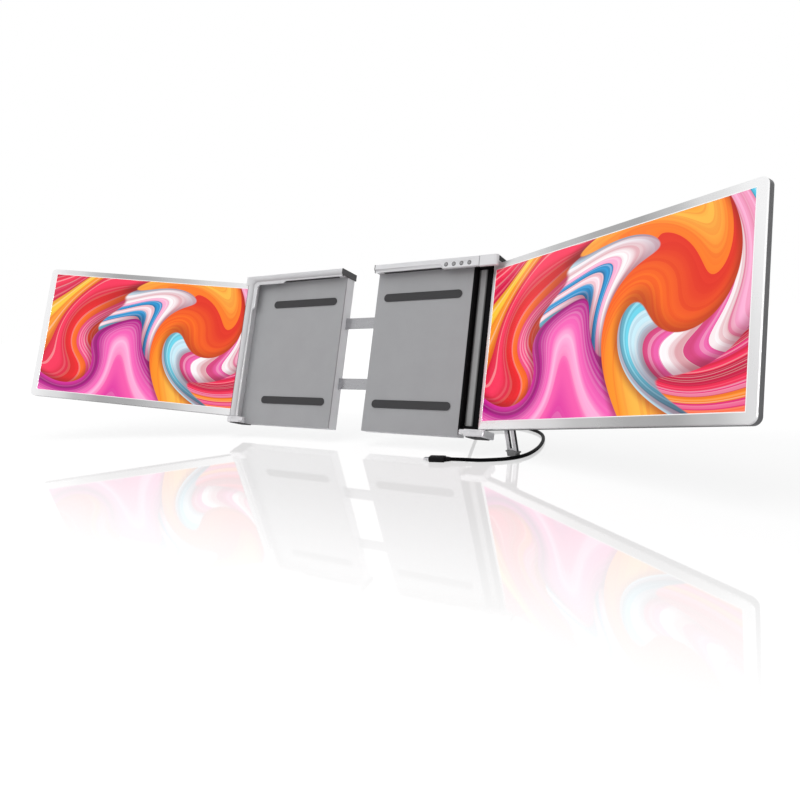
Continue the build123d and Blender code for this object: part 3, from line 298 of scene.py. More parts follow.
def soft_edged_strip(name, colour, middle, width):
    """A pale strip with a painted shade that darkens it softly towards its two long edges."""
    finish = Finish(name)
    side = finish.maths("ABSOLUTE", finish.lies(UPRIGHT, 0, middle, width / 2))
    # painted shade: darker towards both long edges
    tone = finish.tones(side, colour, (0.45, 1.0), (0.75, 0.35), (1.0, 0.03))
    grit = finish.noise(finish.scaled(0.5 * MM), detail=3.0)
    finish.set(Base_Color=tone, Normal=finish.bump(grit, 0.02 * MM, 0.4))
    finish.set(Roughness=0.6, Specular_IOR_Level=0.15)
    return finish.material


def moulded_plastic(name, colour, gloss=0.55, grain=0.6 * MM, depth=0.035 * MM, shine=0.5):
    """Textured plastic straight from the mould: a spark-eroded grain and slight wear in its sheen."""
    finish = Finish(name)
    grit = finish.noise(finish.scaled(grain), detail=4.0, rough=0.65)
    cloud = finish.noise(finish.scaled(22 * MM), detail=2.0)
    tint = finish.tones(cloud, colour, (0.3, 0.965), (0.7, 1.03))
    rough = finish.spread(grit, 0.3, 0.7, gloss - 0.07, gloss + 0.08)
    finish.set(Base_Color=tint, Roughness=rough, Specular_IOR_Level=shine)
    finish.set(Normal=finish.bump(grit, depth, 0.5))
    return finish.material


def brushed_metal(name, colour, along="X", gloss=0.28):
    """Metal with fine brushing along one axis."""
    finish = Finish(name)
    stretch = {"X": (0.02, 1, 1), "Y": (1, 0.02, 1), "Z": (1, 1, 0.02)}[along]
    lines = finish.noise(finish.scaled(0.35 * MM, stretch), detail=5.0, rough=0.7)
    smear = finish.noise(finish.scaled(12 * MM), detail=2.0)
    tint = finish.tones(lines, colour, (0.3, 0.86), (0.7, 1.08))
    rough = finish.spread(smear, 0.2, 0.8, gloss - 0.06, gloss + 0.08)
    finish.set(Base_Color=tint, Metallic=1.0, Roughness=rough, Normal=finish.bump(lines, 0.01 * MM, 0.3))
    return finish.material


def leg_metal_with_painted_shade(name, colour, edge):
    """Satin plated metal whose edge faces, which look sideways along the screen, get a painted shade."""
    finish = Finish(name)
    normal = finish.tree.nodes.new("ShaderNodeTexCoord").outputs["Normal"]
    sideways = tuple(SCREEN_PLACES["right"].col[0].xyz)
    facing = finish.maths("ABSOLUTE", finish.vector("DOT_PRODUCT", normal, sideways))
    lines = finish.noise(finish.scaled(0.3 * MM, (1, 1, 0.05)), detail=4.0, rough=0.7)
    face = finish.tones(lines, colour, (0.3, 0.88), (0.7, 1.06))
    # painted shade: faces that look sideways take the near-black edge colour
    tone = finish.blend(finish.spread(facing, 0.55, 0.8), face, (*edge, 1))
    finish.set(Base_Color=tone, Metallic=1.0, Roughness=0.3, Normal=finish.bump(lines, 0.008 * MM, 0.3))
    return finish.material


def bright_metal(name, colour):
    """Plated metal: nearly a mirror, with faint ripples and finger marks."""
    finish = Finish(name)
    ripple = finish.noise(finish.scaled(4 * MM), detail=2.0)
    marks = finish.noise(finish.scaled(1.6 * MM), detail=5.0, rough=0.7)
    rough = finish.spread(marks, 0.45, 0.8, 0.07, 0.2)
    finish.set(Base_Color=(*colour, 1), Metallic=1.0)
    finish.set(Roughness=rough, Normal=finish.bump(ripple, 0.02 * MM, 0.25))
    return finish.material


def soft_rubber(name, colour, gloss=0.7, shine=0.5):
    """Matt rubber with a fine dusty grain."""
    finish = Finish(name)
    grit = finish.noise(finish.scaled(0.5 * MM), detail=5.0, rough=0.7)
    tint = finish.tones(grit, colour, (0.35, 0.8), (0.7, 1.25))
    finish.set(Base_Color=tint, Normal=finish.bump(grit, 0.04 * MM, 0.6))
    finish.set(Roughness=gloss, Specular_IOR_Level=shine)
    return finish.material


def hook_and_loop(name, colour):
    """Woven tape with a nap of small loops."""
    finish = Finish(name)
    loops = finish.tree.nodes.new("ShaderNodeTexVoronoi")
    finish.link(finish.scaled(0.55 * MM), loops.inputs["Vector"])
    loops.inputs["Scale"].default_value = 1.0
    fuzz = loops.outputs["Distance"]
    tint = finish.tones(fuzz, colour, (0.1, 1.6), (0.6, 0.6))
    finish.set(Base_Color=tint, Roughness=0.9, Sheen_Weight=0.3, Sheen_Roughness=0.5)
    finish.set(Normal=finish.bump(fuzz, 0.2 * MM, 0.7))
    return finish.material


def circuit_board(name):
    """Green solder mask with finer tracks in it."""
    finish = Finish(name)
    cells = finish.tree.nodes.new("ShaderNodeTexBrick")
    finish.link(finish.scaled(6 * MM, turn=(math.radians(90) + LEAN, 0, 0)), cells.inputs["Vector"])
    cells.inputs["Color1"].default_value = (0.012, 0.09, 0.035, 1)
    cells.inputs["Color2"].default_value = (0.016, 0.12, 0.045, 1)
    cells.inputs["Mortar"].default_value = (0.04, 0.2, 0.08, 1)
    cells.inputs["Mortar Size"].default_value = 0.03
    finish.set(Base_Color=cells.outputs[0], Roughness=0.35)
    return finish.material


# Palettes of the pictures, as (start, colour) stops
FIRE = [
    (0.00, (0.90, 0.015, 0.02)),
    (0.10, (1.00, 0.10, 0.005)),
    (0.24, (1.00, 0.25, 0.005)),
    (0.36, (1.00, 0.42, 0.01)),
    (0.46, (0.95, 0.03, 0.10)),
    (0.56, (1.00, 0.60, 0.04)),
    (0.64, (0.75, 0.01, 0.08)),
    (0.72, (1.00, 0.16, 0.01)),
    (0.82, (0.98, 0.10, 0.30)),
    (0.92, (1.00, 0.33, 0.02)),
]
COOL = [
    (0.00, (1.00, 0.96, 0.98)),
    (0.14, (0.06, 0.62, 0.86)),
    (0.28, (0.98, 0.42, 0.66)),
    (0.40, (0.55, 0.85, 0.96)),
    (0.50, (1.00, 0.80, 0.88)),
    (0.60, (0.02, 0.34, 0.72)),
    (0.70, (0.96, 0.96, 1.00)),
    (0.80, (0.88, 0.12, 0.42)),
    (0.90, (0.16, 0.72, 0.90)),
]
SILK = [
    (0.00, (0.30, 0.00, 0.16)),
    (0.22, (0.72, 0.02, 0.34)),
    (0.45, (0.95, 0.10, 0.42)),
    (0.62, (1.00, 0.42, 0.70)),
    (0.74, (0.95, 0.12, 0.48)),
    (1.00, (0.45, 0.00, 0.24)),
]
BERRY = [
    (0.00, (0.62, 0.00, 0.06)),
    (0.16, (0.92, 0.02, 0.10)),
    (0.30, (0.20, 0.00, 0.20)),
    (0.42, (1.00, 0.28, 0.01)),
    (0.54, (0.85, 0.03, 0.22)),
    (0.66, (0.98, 0.45, 0.02)),
    (0.78, (0.42, 0.00, 0.16)),
    (0.90, (1.00, 0.16, 0.06)),
]
AMBER = [
    (0.00, (0.80, 0.03, 0.01)),
    (0.30, (1.00, 0.16, 0.005)),
    (0.55, (1.00, 0.30, 0.01)),
    (0.75, (1.00, 0.50, 0.06)),
    (1.00, (1.00, 0.20, 0.01)),
]
# Whirls in the flow of the paint: centre, reach and turn, in heights of the picture
WHIRLS = (((1.34, 0.58), 0.42, 2.4), ((0.40, 0.34), 0.38, -2.2), ((0.84, 1.04), 0.32, 1.7))


def lit_picture(name, side, brightness):
    """The panel's picture: strokes of glossy paint that flow and curl, lit from behind."""
    finish = Finish(name)
    nodes = finish.tree.nodes
    back = SCREEN_PLACES[side].inverted()
    near = PICTURE_NEAR if side == "right" else -PICTURE_NEAR - PICTURE_WIDE

    flat = nodes.new("ShaderNodeCombineXYZ")
    finish.put(flat.inputs[0], finish.lies(back, 0, near, PICTURE_HIGH))
    finish.put(flat.inputs[1], finish.lies(back, 2, PICTURE_LOW, PICTURE_HIGH))
    flow = flat.outputs[0]
    for centre, reach, turn in WHIRLS:
        away = finish.vector("LENGTH", finish.vector("SUBTRACT", flow, (*centre, 0)))
        fall = finish.maths("MULTIPLY", finish.maths("POWER", finish.maths("DIVIDE", away, reach), 2.0), -1.0)
        curl = nodes.new("ShaderNodeVectorRotate")
        curl.rotation_type = "Z_AXIS"
        finish.put(curl.inputs["Vector"], flow)
        curl.inputs["Center"].default_value = (*centre, 0)
        finish.put(curl.inputs["Angle"], finish.maths("MULTIPLY", finish.maths("EXPONENT", fall), turn))
        flow = curl.outputs[0]
    drift = finish.vector("SUBTRACT", finish.noise(flow, 1.1, 1.0, 0.4, colour=True), (0.5, 0.5, 0.5))
    flow = finish.vector("ADD", flow, finish.vector("SCALE", drift, scale=0.5))
    split = nodes.new("ShaderNodeSeparateXYZ")
    finish.put(split.inputs[0], flow)
    x, y = split.outputs[0], split.outputs[1]

    def slope(first, second, shift=0.0):
        """A direction in the flow."""
        across = finish.maths("MULTIPLY_ADD", x, first, shift)
        return finish.maths("ADD", across, finish.maths("MULTIPLY", y, second))

    def stripes(along, count):
        """Random values in bands of uneven width, and how far a point is from its band's middle."""
        bands = nodes.new("ShaderNodeTexVoronoi")
        bands.voronoi_dimensions = "1D"
        bands.inputs["Scale"].default_value = count
        finish.put(bands.inputs["W"], along)
        pick = nodes.new("ShaderNodeSeparateColor")
        finish.link(bands.outputs["Color"], pick.inputs[0])
        return pick.outputs[0], bands.outputs["Distance"]

    def strokes(along, count, palette):
        """Strokes side by side, each of one colour, rounded by light and streaked by the brush."""
        pick, side_way = stripes(along, count)
        paint = finish.ramp(pick, palette, "CONSTANT")
        rounding = finish.spread(side_way, 0.15, 0.62, 0.0, 0.55)
        paint = finish.blend(rounding, paint, (0.62, 0.10, 0.16, 1), "MULTIPLY")
        streak, _ = stripes(along, count * 6.5)
        pale = finish.spread(streak, 0.55, 1.0, 0.0, 0.32)
        paint = finish.blend(pale, paint, (1.0, 0.93, 0.85, 1), "SCREEN")
        deep = finish.spread(streak, 0.45, 0.0, 0.0, 0.30)
        return finish.blend(deep, paint, (0.75, 0.15, 0.2, 1), "MULTIPLY")

    def edge(value, at, soft=0.004):
        return finish.spread(value, at - soft, at + soft, smooth=True)

    def lay(under, over, value, shade=0.6):
        """Lay one sheet of paint over another, with a shadow along its edge."""
        dark = finish.spread(value, -0.10, 0.0, 0.0, shade, smooth=True)
        under = finish.blend(dark, under, (0.30, 0.0, 0.08, 1), "MULTIPLY")
        return finish.blend(edge(value, 0.0), under, over)

    def wave(along, pace, start, height):
        angle = finish.maths("MULTIPLY_ADD", along, pace, start)
        return finish.maths("MULTIPLY", finish.maths("SINE", angle), height)

    warm = strokes(slope(-0.35, 1.0), 11.0, FIRE)
    cool = strokes(slope(0.75, 0.62), 12.0, COOL)
    silk = finish.ramp(finish.maths("FRACT", slope(0.35, 1.9, 0.42)), SILK)
    fine, _ = stripes(slope(0.15, 1.0), 75.0)
    silk = finish.blend(finish.spread(fine, 0.6, 1.0, 0.0, 0.16), silk, (1.0, 0.75, 0.9, 1), "SCREEN")
    amber = finish.ramp(finish.maths("FRACT", slope(1.1, -0.5, 0.05)), AMBER)
    fine, _ = stripes(slope(1.1, -0.5), 52.0)
    amber = finish.blend(finish.spread(fine, 0.5, 0.0, 0.0, 0.35), amber, (0.8, 0.12, 0.05, 1), "MULTIPLY")

    berry = strokes(slope(-0.5, 1.1, 0.3), 13.0, BERRY)

    cool_edge = finish.maths("ADD", slope(0.9, -0.55, -0.44), wave(x, 3.1, 0.6, 0.16))
    silk_edge = finish.maths("ADD", slope(0.0, -1.0, 0.27), wave(x, 2.2, 2.1, 0.16))
    amber_edge = finish.maths("SUBTRACT", slope(0.8, 0.35, -1.24), wave(x, 3.1, 0.6, 0.2))
    ribbon_edge = finish.maths("ADD", slope(0.85, 0.30, -1.42), wave(y, 4.2, 0.4, 0.10))
    berry_edge = finish.maths("ADD", slope(0.85, 0.10, -1.54), wave(y, 3.6, 1.0, 0.10))
    colour = lay(warm, cool, cool_edge)
    colour = lay(colour, silk, silk_edge)
    colour = lay(colour, amber, amber_edge)
    colour = lay(colour, cool, ribbon_edge)
    colour = lay(colour, berry, berry_edge)
    finish.set(Base_Color=(0.004, 0.004, 0.005, 1), Roughness=0.22, Specular_IOR_Level=0.25)
    finish.set(Emission_Color=colour, Emission_Strength=brightness)
    return finish.material


# ---- Shapes ----------------------------------------------------------------------------------


def add_mesh(name, mesh, body, material, replaced=()):
    """A finished piece in the scene, on its body."""
    piece = bpy.data.objects.new(name, mesh)
    bpy.context.scene.collection.objects.link(piece)
    mesh.materials.clear()
    mesh.materials.append(material)
    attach(piece, body)
    if replaced:
        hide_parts(*replaced)
    return piece


def from_bmesh(form, name, sharp=35):
    """A mesh from a bmesh, smooth but for its sharp edges."""
    bmesh.ops.recalc_face_normals(form, faces=form.faces)
    mesh = bpy.data.meshes.new(name)
    form.to_mesh(mesh)
    form.free()
    mesh.shade_smooth()
    mesh.set_sharp_from_angle(angle=math.radians(sharp))
    return mesh


def block(centre, size):
    """A new bmesh with a block of that size."""
    form = bmesh.new()
    bmesh.ops.create_cube(form, size=1.0)
    bmesh.ops.scale(form, verts=form.verts, vec=size)
    bmesh.ops.translate(form, verts=form.verts, vec=centre)
    return form


def turned(profile, steps=28):
    """A new bmesh turned about Y from (radius, place along Y) points in millimetres."""
    form = bmesh.new()
    points = [form.verts.new((radius * MM, along * MM, 0)) for radius, along in profile]
    lines = [form.edges.new(pair) for pair in zip(points, points[1:])]
    bmesh.ops.spin(form, geom=points + lines, axis=(0, 1, 0), angle=math.tau, steps=steps, use_merge=True)
    bmesh.ops.remove_doubles(form, verts=form.verts, dist=0.001 * MM)
    return form


def joined(form, other):
    """Add another bmesh to this one, and free it."""
    mesh = bpy.data.meshes.new("part")
    other.to_mesh(mesh)
    other.free()
    form.from_mesh(mesh)
    bpy.data.meshes.remove(mesh)


def edge_lies(edge, axis):
    """Whether an edge runs along an axis, and not at a corner of a face across it."""
    way = edge.verts[1].co - edge.verts[0].co
    return abs(getattr(way.normalized(), axis)) > 0.99


def edges_along(form, axis):
    return [edge for edge in form.edges if edge_lies(edge, axis)]


def rounded(form, edges, width, segments):
    """Round some edges of a bmesh."""
    bmesh.ops.bevel(
        form,
        geom=edges,
        affect="EDGES",
        material=-1,
        offset=width,
        segments=segments,
        profile=0.5,
        clamp_overlap=True,
    )


def softened(node, name, material, width, segments=2, angle=40):
    """The node's own shape with its hard edges rounded, in place of the node."""
    form = bmesh.new()
    form.from_mesh(NODES[node].data)
    bmesh.ops.remove_doubles(form, verts=form.verts, dist=0.002 * MM)
    bmesh.ops.dissolve_limit(form, angle_limit=math.radians(0.5), verts=form.verts, edges=form.edges)
    mesh = bpy.data.meshes.new(name)
    form.to_mesh(mesh)
    form.free()
    mesh.shade_smooth()
    mesh.set_sharp_from_angle(angle=math.radians(angle))
    piece = add_mesh(name, mesh, BODY_OF[node], material, (node,))
    rounding = piece.modifiers.new("Rounding", "BEVEL")
    rounding.width = width
    rounding.segments = segments
    rounding.limit_method = "ANGLE"
    rounding.angle_limit = math.radians(angle)
    rounding.harden_normals = True
    return piece


def coat(material, *nodes):
    """Give CAD nodes a finish."""
    for node in nodes:
        slots = NODES[node].data.materials
        slots.clear()
        slots.append(material)


# ---- Settings --------------------------------------------------------------------------------


def colour_setting(name, description, default):
    return FloatVectorProperty(name=name, description=description, subtype="COLOR", size=3, default=default)


def length_setting(name, description, default):
    return FloatProperty(
        name=name, description=description, subtype="DISTANCE", unit="LENGTH", default=default
    )


class FinishSettings(bpy.types.PropertyGroup):
    silver: colour_setting("Silver", "Painted housings", (0.70, 0.705, 0.72))
    bezel: colour_setting("Bezels", "Metal of the screens' bezels", (0.86, 0.86, 0.865))
    dark: colour_setting("Dark grey", "Rear covers of the screens", (0.10, 0.10, 0.105))
    black: colour_setting("Black", "Hinge channel", (0.004, 0.004, 0.0045))
    edge: length_setting("Edge rounding", "Radius of the moulded edges", 0.35 * MM)


class PictureSettings(bpy.types.PropertyGroup):
    brightness: FloatProperty(name="Brightness", description="Light of the panels", default=1.0, min=0.0)


class LeadSettings(bpy.types.PropertyGroup):
    thickness: length_setting("Thickness", "Diameter of the lead", 4 * MM)
    coil: length_setting("Coil radius", "Middle radius of the coil of spare lead", 20 * MM)
    turn_points: IntProperty(
        name="Points per turn", description="Control points of one turn", default=16, min=12
    )


class StudioSettings(bpy.types.PropertyGroup):
    floor_shine: FloatProperty(
        name="Floor shine", description="Strength of the floor's reflection", default=0.34
    )
    key_power: FloatProperty(
        name="Key light", description="Power of the main lamp", unit="POWER", default=54.0
    )


# ---- Pieces ----------------------------------------------------------------------------------


class TWINSCREENS_OT_screens(bpy.types.Operator):
    """Both screens: bezels, glass, pictures, rear covers and what is inside them"""

    bl_idname = "twinscreens.screens"
    bl_label = "Screens"

    def execute(self, context):
        finishes = context.scene.twin_finishes
        dark = moulded_plastic("dark_rear_cover", finishes.dark, gloss=0.42)
        backing = moulded_plastic("panel_backing", (0.01, 0.01, 0.011), gloss=0.5)
        board = circuit_board("driver_board_mask")
        steel = brushed_metal("hinge_block_steel", (0.52, 0.52, 0.54), along="Z")
        for side in ("right", "left"):
            picture = lit_picture(f"{side}_picture", side, context.scene.twin_picture.brightness)
            self.glass(side, picture)
            coat(backing, f"{side}_screen_panel")
            coat(board, f"{side}_screen_driver_board")
            coat(steel, f"{side}_screen_hinge_blocks")
            metal = anodised_frame_with_painted_reflection(f"{side}_bezel_metal", finishes.bezel, side)
            softened(f"{side}_screen_bezel", f"{side}_bezel", metal, 0.2 * MM)
            coat(dark, f"{side}_screen_back_cover")
        return {"FINISHED"}

    def glass(self, side, picture):
        """The glass bonded to the panel, which fills the bezel's window and shows the picture at its face."""
        front, back = GLASS_DEEP
        middle = PICTURE_NEAR + PICTURE_WIDE / 2
        centre = (middle if side == "right" else -middle, (front + back) / 2, PICTURE_LOW + PICTURE_HIGH / 2)
        gap = 0.1 * MM
        form = block(centre, (PICTURE_WIDE - gap, back - front, PICTURE_HIGH - gap))
        rounded(form, form.edges[:], 0.08 * MM, 2)
        bmesh.ops.transform(form, matrix=SCREEN_PLACES[side], verts=form.verts)
        node = f"{side}_screen_glass"
        add_mesh(f"{side}_lit_glass", from_bmesh(form, node), BODY_OF[node], picture, (node,))


# The housings' paint, and the middle and width of the pale strip in the hinge channel; its edges have
# a painted shade
SATIN = {"gloss": 0.34, "metal": 0.12}
STRIP = (169.1 * MM, 10.8 * MM)


class TWINSCREENS_OT_housings(bpy.types.Operator):
    """The bracket's front frames, caps, rear shells, plates and rails"""

    bl_idname = "twinscreens.housings"
    bl_label = "Housings"

    def execute(self, context):
        finishes = context.scene.twin_finishes
        silver = painted_plastic("satin_silver_paint", finishes.silver, **SATIN)
        plate = painted_plastic("grey_plate", (0.34, 0.345, 0.355), gloss=0.5)
        # the hinge channel is black plastic, whose near black is also a painted shade for the gaps round the
        # pale strip
        black = moulded_plastic("black_channel_with_painted_shade", finishes.black, gloss=0.5, shine=0.06)
        # painted shade: the dark and black end plates stand in for the shade on the end faces that look
        # sideways
        dark = moulded_plastic("dark_plastic_with_painted_end_shade", (0.045, 0.045, 0.048), gloss=0.45)
        end = moulded_plastic("black_end_plate_with_painted_shade", (0.018, 0.018, 0.020), gloss=0.5, shine=0.12)
        grey = soft_edged_strip("grey_strip", (0.42, 0.42, 0.42), *STRIP)
        below, beside = (2, -1), (0, 1)
        # the right frame: a painted shade on the bevel above its lip and a painted highlight on the lip's
        # edge
        silver_with_painted_lip_light = painted_plastic("silver_paint_with_painted_lip_light", finishes.silver, **SATIN, lip=(below,))
        # painted shade: the left frame gets the housings' silver made darker
        silver_in_painted_shade = shaded(finishes.silver, 0.9)
        # the left frame: a painted shade on its rebate and its bevel, and a painted highlight on its lip's
        # edge
        silver_with_painted_light_and_shade = painted_plastic(
            "silver_paint_with_painted_light_and_shade", silver_in_painted_shade, **SATIN, rebate=REBATE_SHADE, lip=(below, beside)
        )
        steel = brushed_metal("rail_steel", (0.40, 0.40, 0.415), along="X")
        rubber = soft_rubber("pad_rubber", (0.03, 0.03, 0.032))
        round_edge = finishes.edge
        for node in (
            "right_end_cap",
            "left_hinge_cap",
            "right_foot",
            "left_foot",
            "right_hook",
            "left_hook",
            "right_back_shell",
            "left_back_shell",
        ):
            softened(node, f"{node}_shell", silver, round_edge)
        softened("right_front_frame", "right_front_frame_shell", silver_with_painted_lip_light, round_edge)
        softened("left_front_frame", "left_front_frame_shell", silver_with_painted_light_and_shade, round_edge)
        covers = {"right_end_cover": end, "right_inner_cover": dark, "left_inner_cover": dark}
        for node, material in covers.items():
            softened(node, f"{node}_plate", material, 0.2 * MM)
        softened("right_hinge_channel", "hinge_channel", black, 0.3 * MM)
        softened("right_channel_strip", "channel_strip", grey, 0.15 * MM)
        coat(plate, "right_back_plate", "left_back_plate")
        coat(steel, "lower_rail", "upper_rail", "rail_screws", "right_screws", "left_screws")
        coat(steel, "right_hinge_pins", "left_hinge_pins")
        coat(dark, "left_rail_guides")
        coat(rubber, "right_lid_pads", "left_lid_pads", "right_foot_pad", "left_foot_pad")
        return {"FINISHED"}


# The buttons on the lid's upright frame: the first one, their pitch, the face of the beam, their height
BUTTON_FIRST = 128.4 * MM
BUTTON_PITCH = 10.2 * MM
BUTTON_FACE = -9.2 * MM
BUTTON_HIGH = 201 * MM
# The middle of the nib that presses the switch lies this far above the button's
NIB_RISE = 1.2 * MM
# Profiles in millimetres, from the beam's face backwards: a dished cap with its flange, the nib
# behind it, and the near-black ring in the beam round it, a painted shade for the gap round the button
BUTTON_PROFILE = (
    (0.0, -0.30),
    (0.9, -0.34),
    (1.4, -0.48),
    (1.65, -0.5),
    (1.9, -0.4),
    (2.0, -0.2),
    (2.0, 1.4),
    (2.5, 1.4),
    (2.5, 2.0),
    (0.0, 2.0),
)
NIB_PROFILE = ((0.0, 1.9), (0.8, 1.9), (0.8, 2.6), (0.0, 2.6))
SHADE_RING_PROFILE = ((2.05, 0.1), (2.15, 0.0), (2.5, 0.0), (2.58, 0.1), (2.58, 0.29), (2.05, 0.29), (2.05, 0.1))


class TWINSCREENS_OT_controls(bpy.types.Operator):
    """The four buttons, the boards and the socket"""

    bl_idname = "twinscreens.controls"
    bl_label = "Controls"

    def execute(self, context):
        rubber = soft_rubber("button_rubber", (0.30, 0.30, 0.305), gloss=0.4)
        # painted shade: a near-black ring where the gap round each button falls in shade
        ring_shade = soft_rubber("button_ring_painted_shade", (0.02, 0.02, 0.021), gloss=0.6)
        board = circuit_board("main_board_mask")
        metal = bright_metal("socket_metal", (0.75, 0.75, 0.77))
        shade_rings = bmesh.new()
        for place, node in enumerate(("button_menu", "button_down", "button_up", "button_power")):
            across = BUTTON_FIRST + BUTTON_PITCH * place
            spot = LEANING @ Matrix.Translation((across, BUTTON_FACE, BUTTON_HIGH))
            cap = turned(BUTTON_PROFILE)
            nib = turned(NIB_PROFILE)
            bmesh.ops.translate(nib, verts=nib.verts, vec=(0, 0, NIB_RISE))
            joined(cap, nib)
            bmesh.ops.transform(cap, matrix=spot, verts=cap.verts)
            cap_mesh = from_bmesh(cap, node)
            add_mesh(f"{node}_cap", cap_mesh, BODY_OF[node], rubber, (node,))
            shade_ring = turned(SHADE_RING_PROFILE)
            bmesh.ops.transform(shade_ring, matrix=spot, verts=shade_ring.verts)
            joined(shade_rings, shade_ring)
        add_mesh("button_shade_rings", from_bmesh(shade_rings, "button_shade_rings"), "right_half", ring_shade)
        coat(board, "button_board", "main_board")
        coat(metal, "usb_port")
        return {"FINISHED"}


class TWINSCREENS_OT_stand(bpy.types.Operator):
    """The folding leg under the right screen, its bracket, pin and rubber foot"""

    bl_idname = "twinscreens.stand"
    bl_label = "Stand"

    def execute(self, context):
        # the last colour is the painted shade on the bars' sideways faces
        chrome = leg_metal_with_painted_shade("leg_metal_with_painted_shade", (0.62, 0.62, 0.63), (0.03, 0.03, 0.032))
        steel = brushed_metal("bracket_steel", (0.4, 0.4, 0.41), along="Z")
        rubber = soft_rubber("foot_rubber", (0.22, 0.22, 0.222))
        softened("stand_leg", "stand_bars", chrome, 0.35 * MM)
        softened("stand_foot", "stand_shoe", rubber, 0.5 * MM)
        coat(steel, "stand_bracket", "stand_pin")
        return {"FINISHED"}


# The lead's route in metres, from the back of the socket's plug down to the table and the coil,
# and from the coil round the side to the plug for the laptop: the points that the solids have
FROM_SOCKET = (
    (0.1360, 0.05167, 0.01541),
    (0.1360, 0.06307, 0.01188),
    (0.1360, 0.07667, 0.00321),
    (0.1355, 0.08817, -0.00759),
    (0.1340, 0.10267, -0.0173),
    (0.1300, 0.11967, -0.0173),
    (0.1220, 0.13767, -0.0173),
)
TO_LAPTOP = (
    (0.1362, 0.1874, -0.0126),
    (0.1418, 0.1842, -0.0134),
    (0.1470, 0.1812, -0.0166),
    (0.1535, 0.1774, -0.0173),
    (0.1710, 0.1680, -0.0173),
    (0.1915, 0.1530, -0.0173),
    (0.2080, 0.1345, -0.0173),
    (0.2190, 0.1140, -0.0173),
    (0.2272, 0.0930, -0.0173),
    (0.2334, 0.0720, -0.0173),
    (0.2384, 0.0500, -0.0173),
    (0.2410, 0.0290, -0.0173),
    (0.2414, 0.0110, -0.0173),
    (0.2380, -0.0044, -0.0173),
    (0.2298, -0.0172, -0.0173),
    (0.2175, -0.0264, -0.0173),
    (0.2035, -0.0342, -0.0173),
    (0.1890, -0.0398, -0.0163),
    (0.1760, -0.0428, -0.0163),
)
COIL_CENTRE = (0.118, 0.172)
COIL_IN = math.radians(230)  # where the lead comes to the coil, which it goes round clockwise
COIL_TURNS = 4 + 170 / 360
# Turns since the start, lane from the middle one outwards, and height, both in thicknesses of the
# lead: three turns lie side by side, and the rest in the grooves between them
COIL_LANES = (
    (0.00, 1.0, 0.0),
    (0.85, 1.0, 0.0),
    (1.00, 0.0, 0.0),
    (1.85, 0.0, 0.0),
    (2.00, -1.0, 0.0),
    (2.69, -1.0, 0.0),
    (2.76, -0.9, 0.5),
    (2.84, -0.5, 0.87),
    (2.92, -0.5, 1.05),
    (3.02, -0.5, 0.87),
    (3.67, -0.5, 0.87),
    (3.76, 0.0, 1.05),
    (3.85, 0.5, 0.90),
    (3.93, 0.5, 1.05),
    (4.03, 0.5, 0.90),
    (4.48, 0.5, 1.0),
)
PLUG = (12 * MM, 17 * MM, 6 * MM)
PLUG_ROUND = 2.3 * MM
SLEEVE = 6 * MM
# The dip for a thumb: the rim it leaves, its slope and its depth
DIP_RIM = 1.4 * MM
DIP_SLOPE = 0.4 * MM
DIP_DEEP = 0.3 * MM
# The metal mouth with its wall and hollow, and the tongue with its middle's place in it
MOUTH = (8.3 * MM, 6 * MM, 2.5 * MM)
MOUTH_ROUND = 1.2 * MM
MOUTH_WALL = 0.35 * MM
MOUTH_DEEP = 4.8 * MM
TONGUE = (6.6 * MM, 4.4 * MM, 0.7 * MM)
TONGUE_OUT = 3.0 * MM
# The ringed sleeve in millimetres, from inside the plug's body to where the lead comes out
SLEEVE_PROFILE = (
    (0.0, -SLEEVE / MM - 1),
    (3.0, -SLEEVE / MM - 1),
    (2.95, -4.9),
    (2.5, -4.7),
    (2.5, -4.3),
    (2.85, -4.1),
    (2.75, -3.2),
    (2.4, -3.0),
    (2.4, -2.6),
    (2.65, -2.4),
    (2.55, -1.5),
    (2.3, -1.3),
    (2.3, -0.9),
    (2.45, -0.7),
    (2.3, 0.0),
    (0.0, 0.0),
)
# Where the back of each plug's sleeve is; the plug points along its own -Y
PLUG_PLACES = {
    "plug_port_end": Matrix.Translation(FROM_SOCKET[0]) @ LEANING,
    "plug_laptop_end": Matrix.Translation(TO_LAPTOP[-1]) @ Matrix.Rotation(math.radians(-77.0), 4, "Z"),
}


def coil_point(turns, radius, thickness):
    """Where the coil's line is after so many turns, its lane and height eased between the rows above."""
    for start, end in zip(COIL_LANES, COIL_LANES[1:]):
        if turns <= end[0]:
            break
    part = (turns - start[0]) / (end[0] - start[0])
    lane, height = (first + (last - first) * part for first, last in zip(start[1:], end[1:]))
    angle = COIL_IN - turns * math.tau
    reach = (radius + lane * thickness) * 1.02
    return (
        COIL_CENTRE[0] + math.cos(angle) * reach,
        COIL_CENTRE[1] + math.sin(angle) * reach,
        TABLE + (0.5 + height) * thickness,
    )


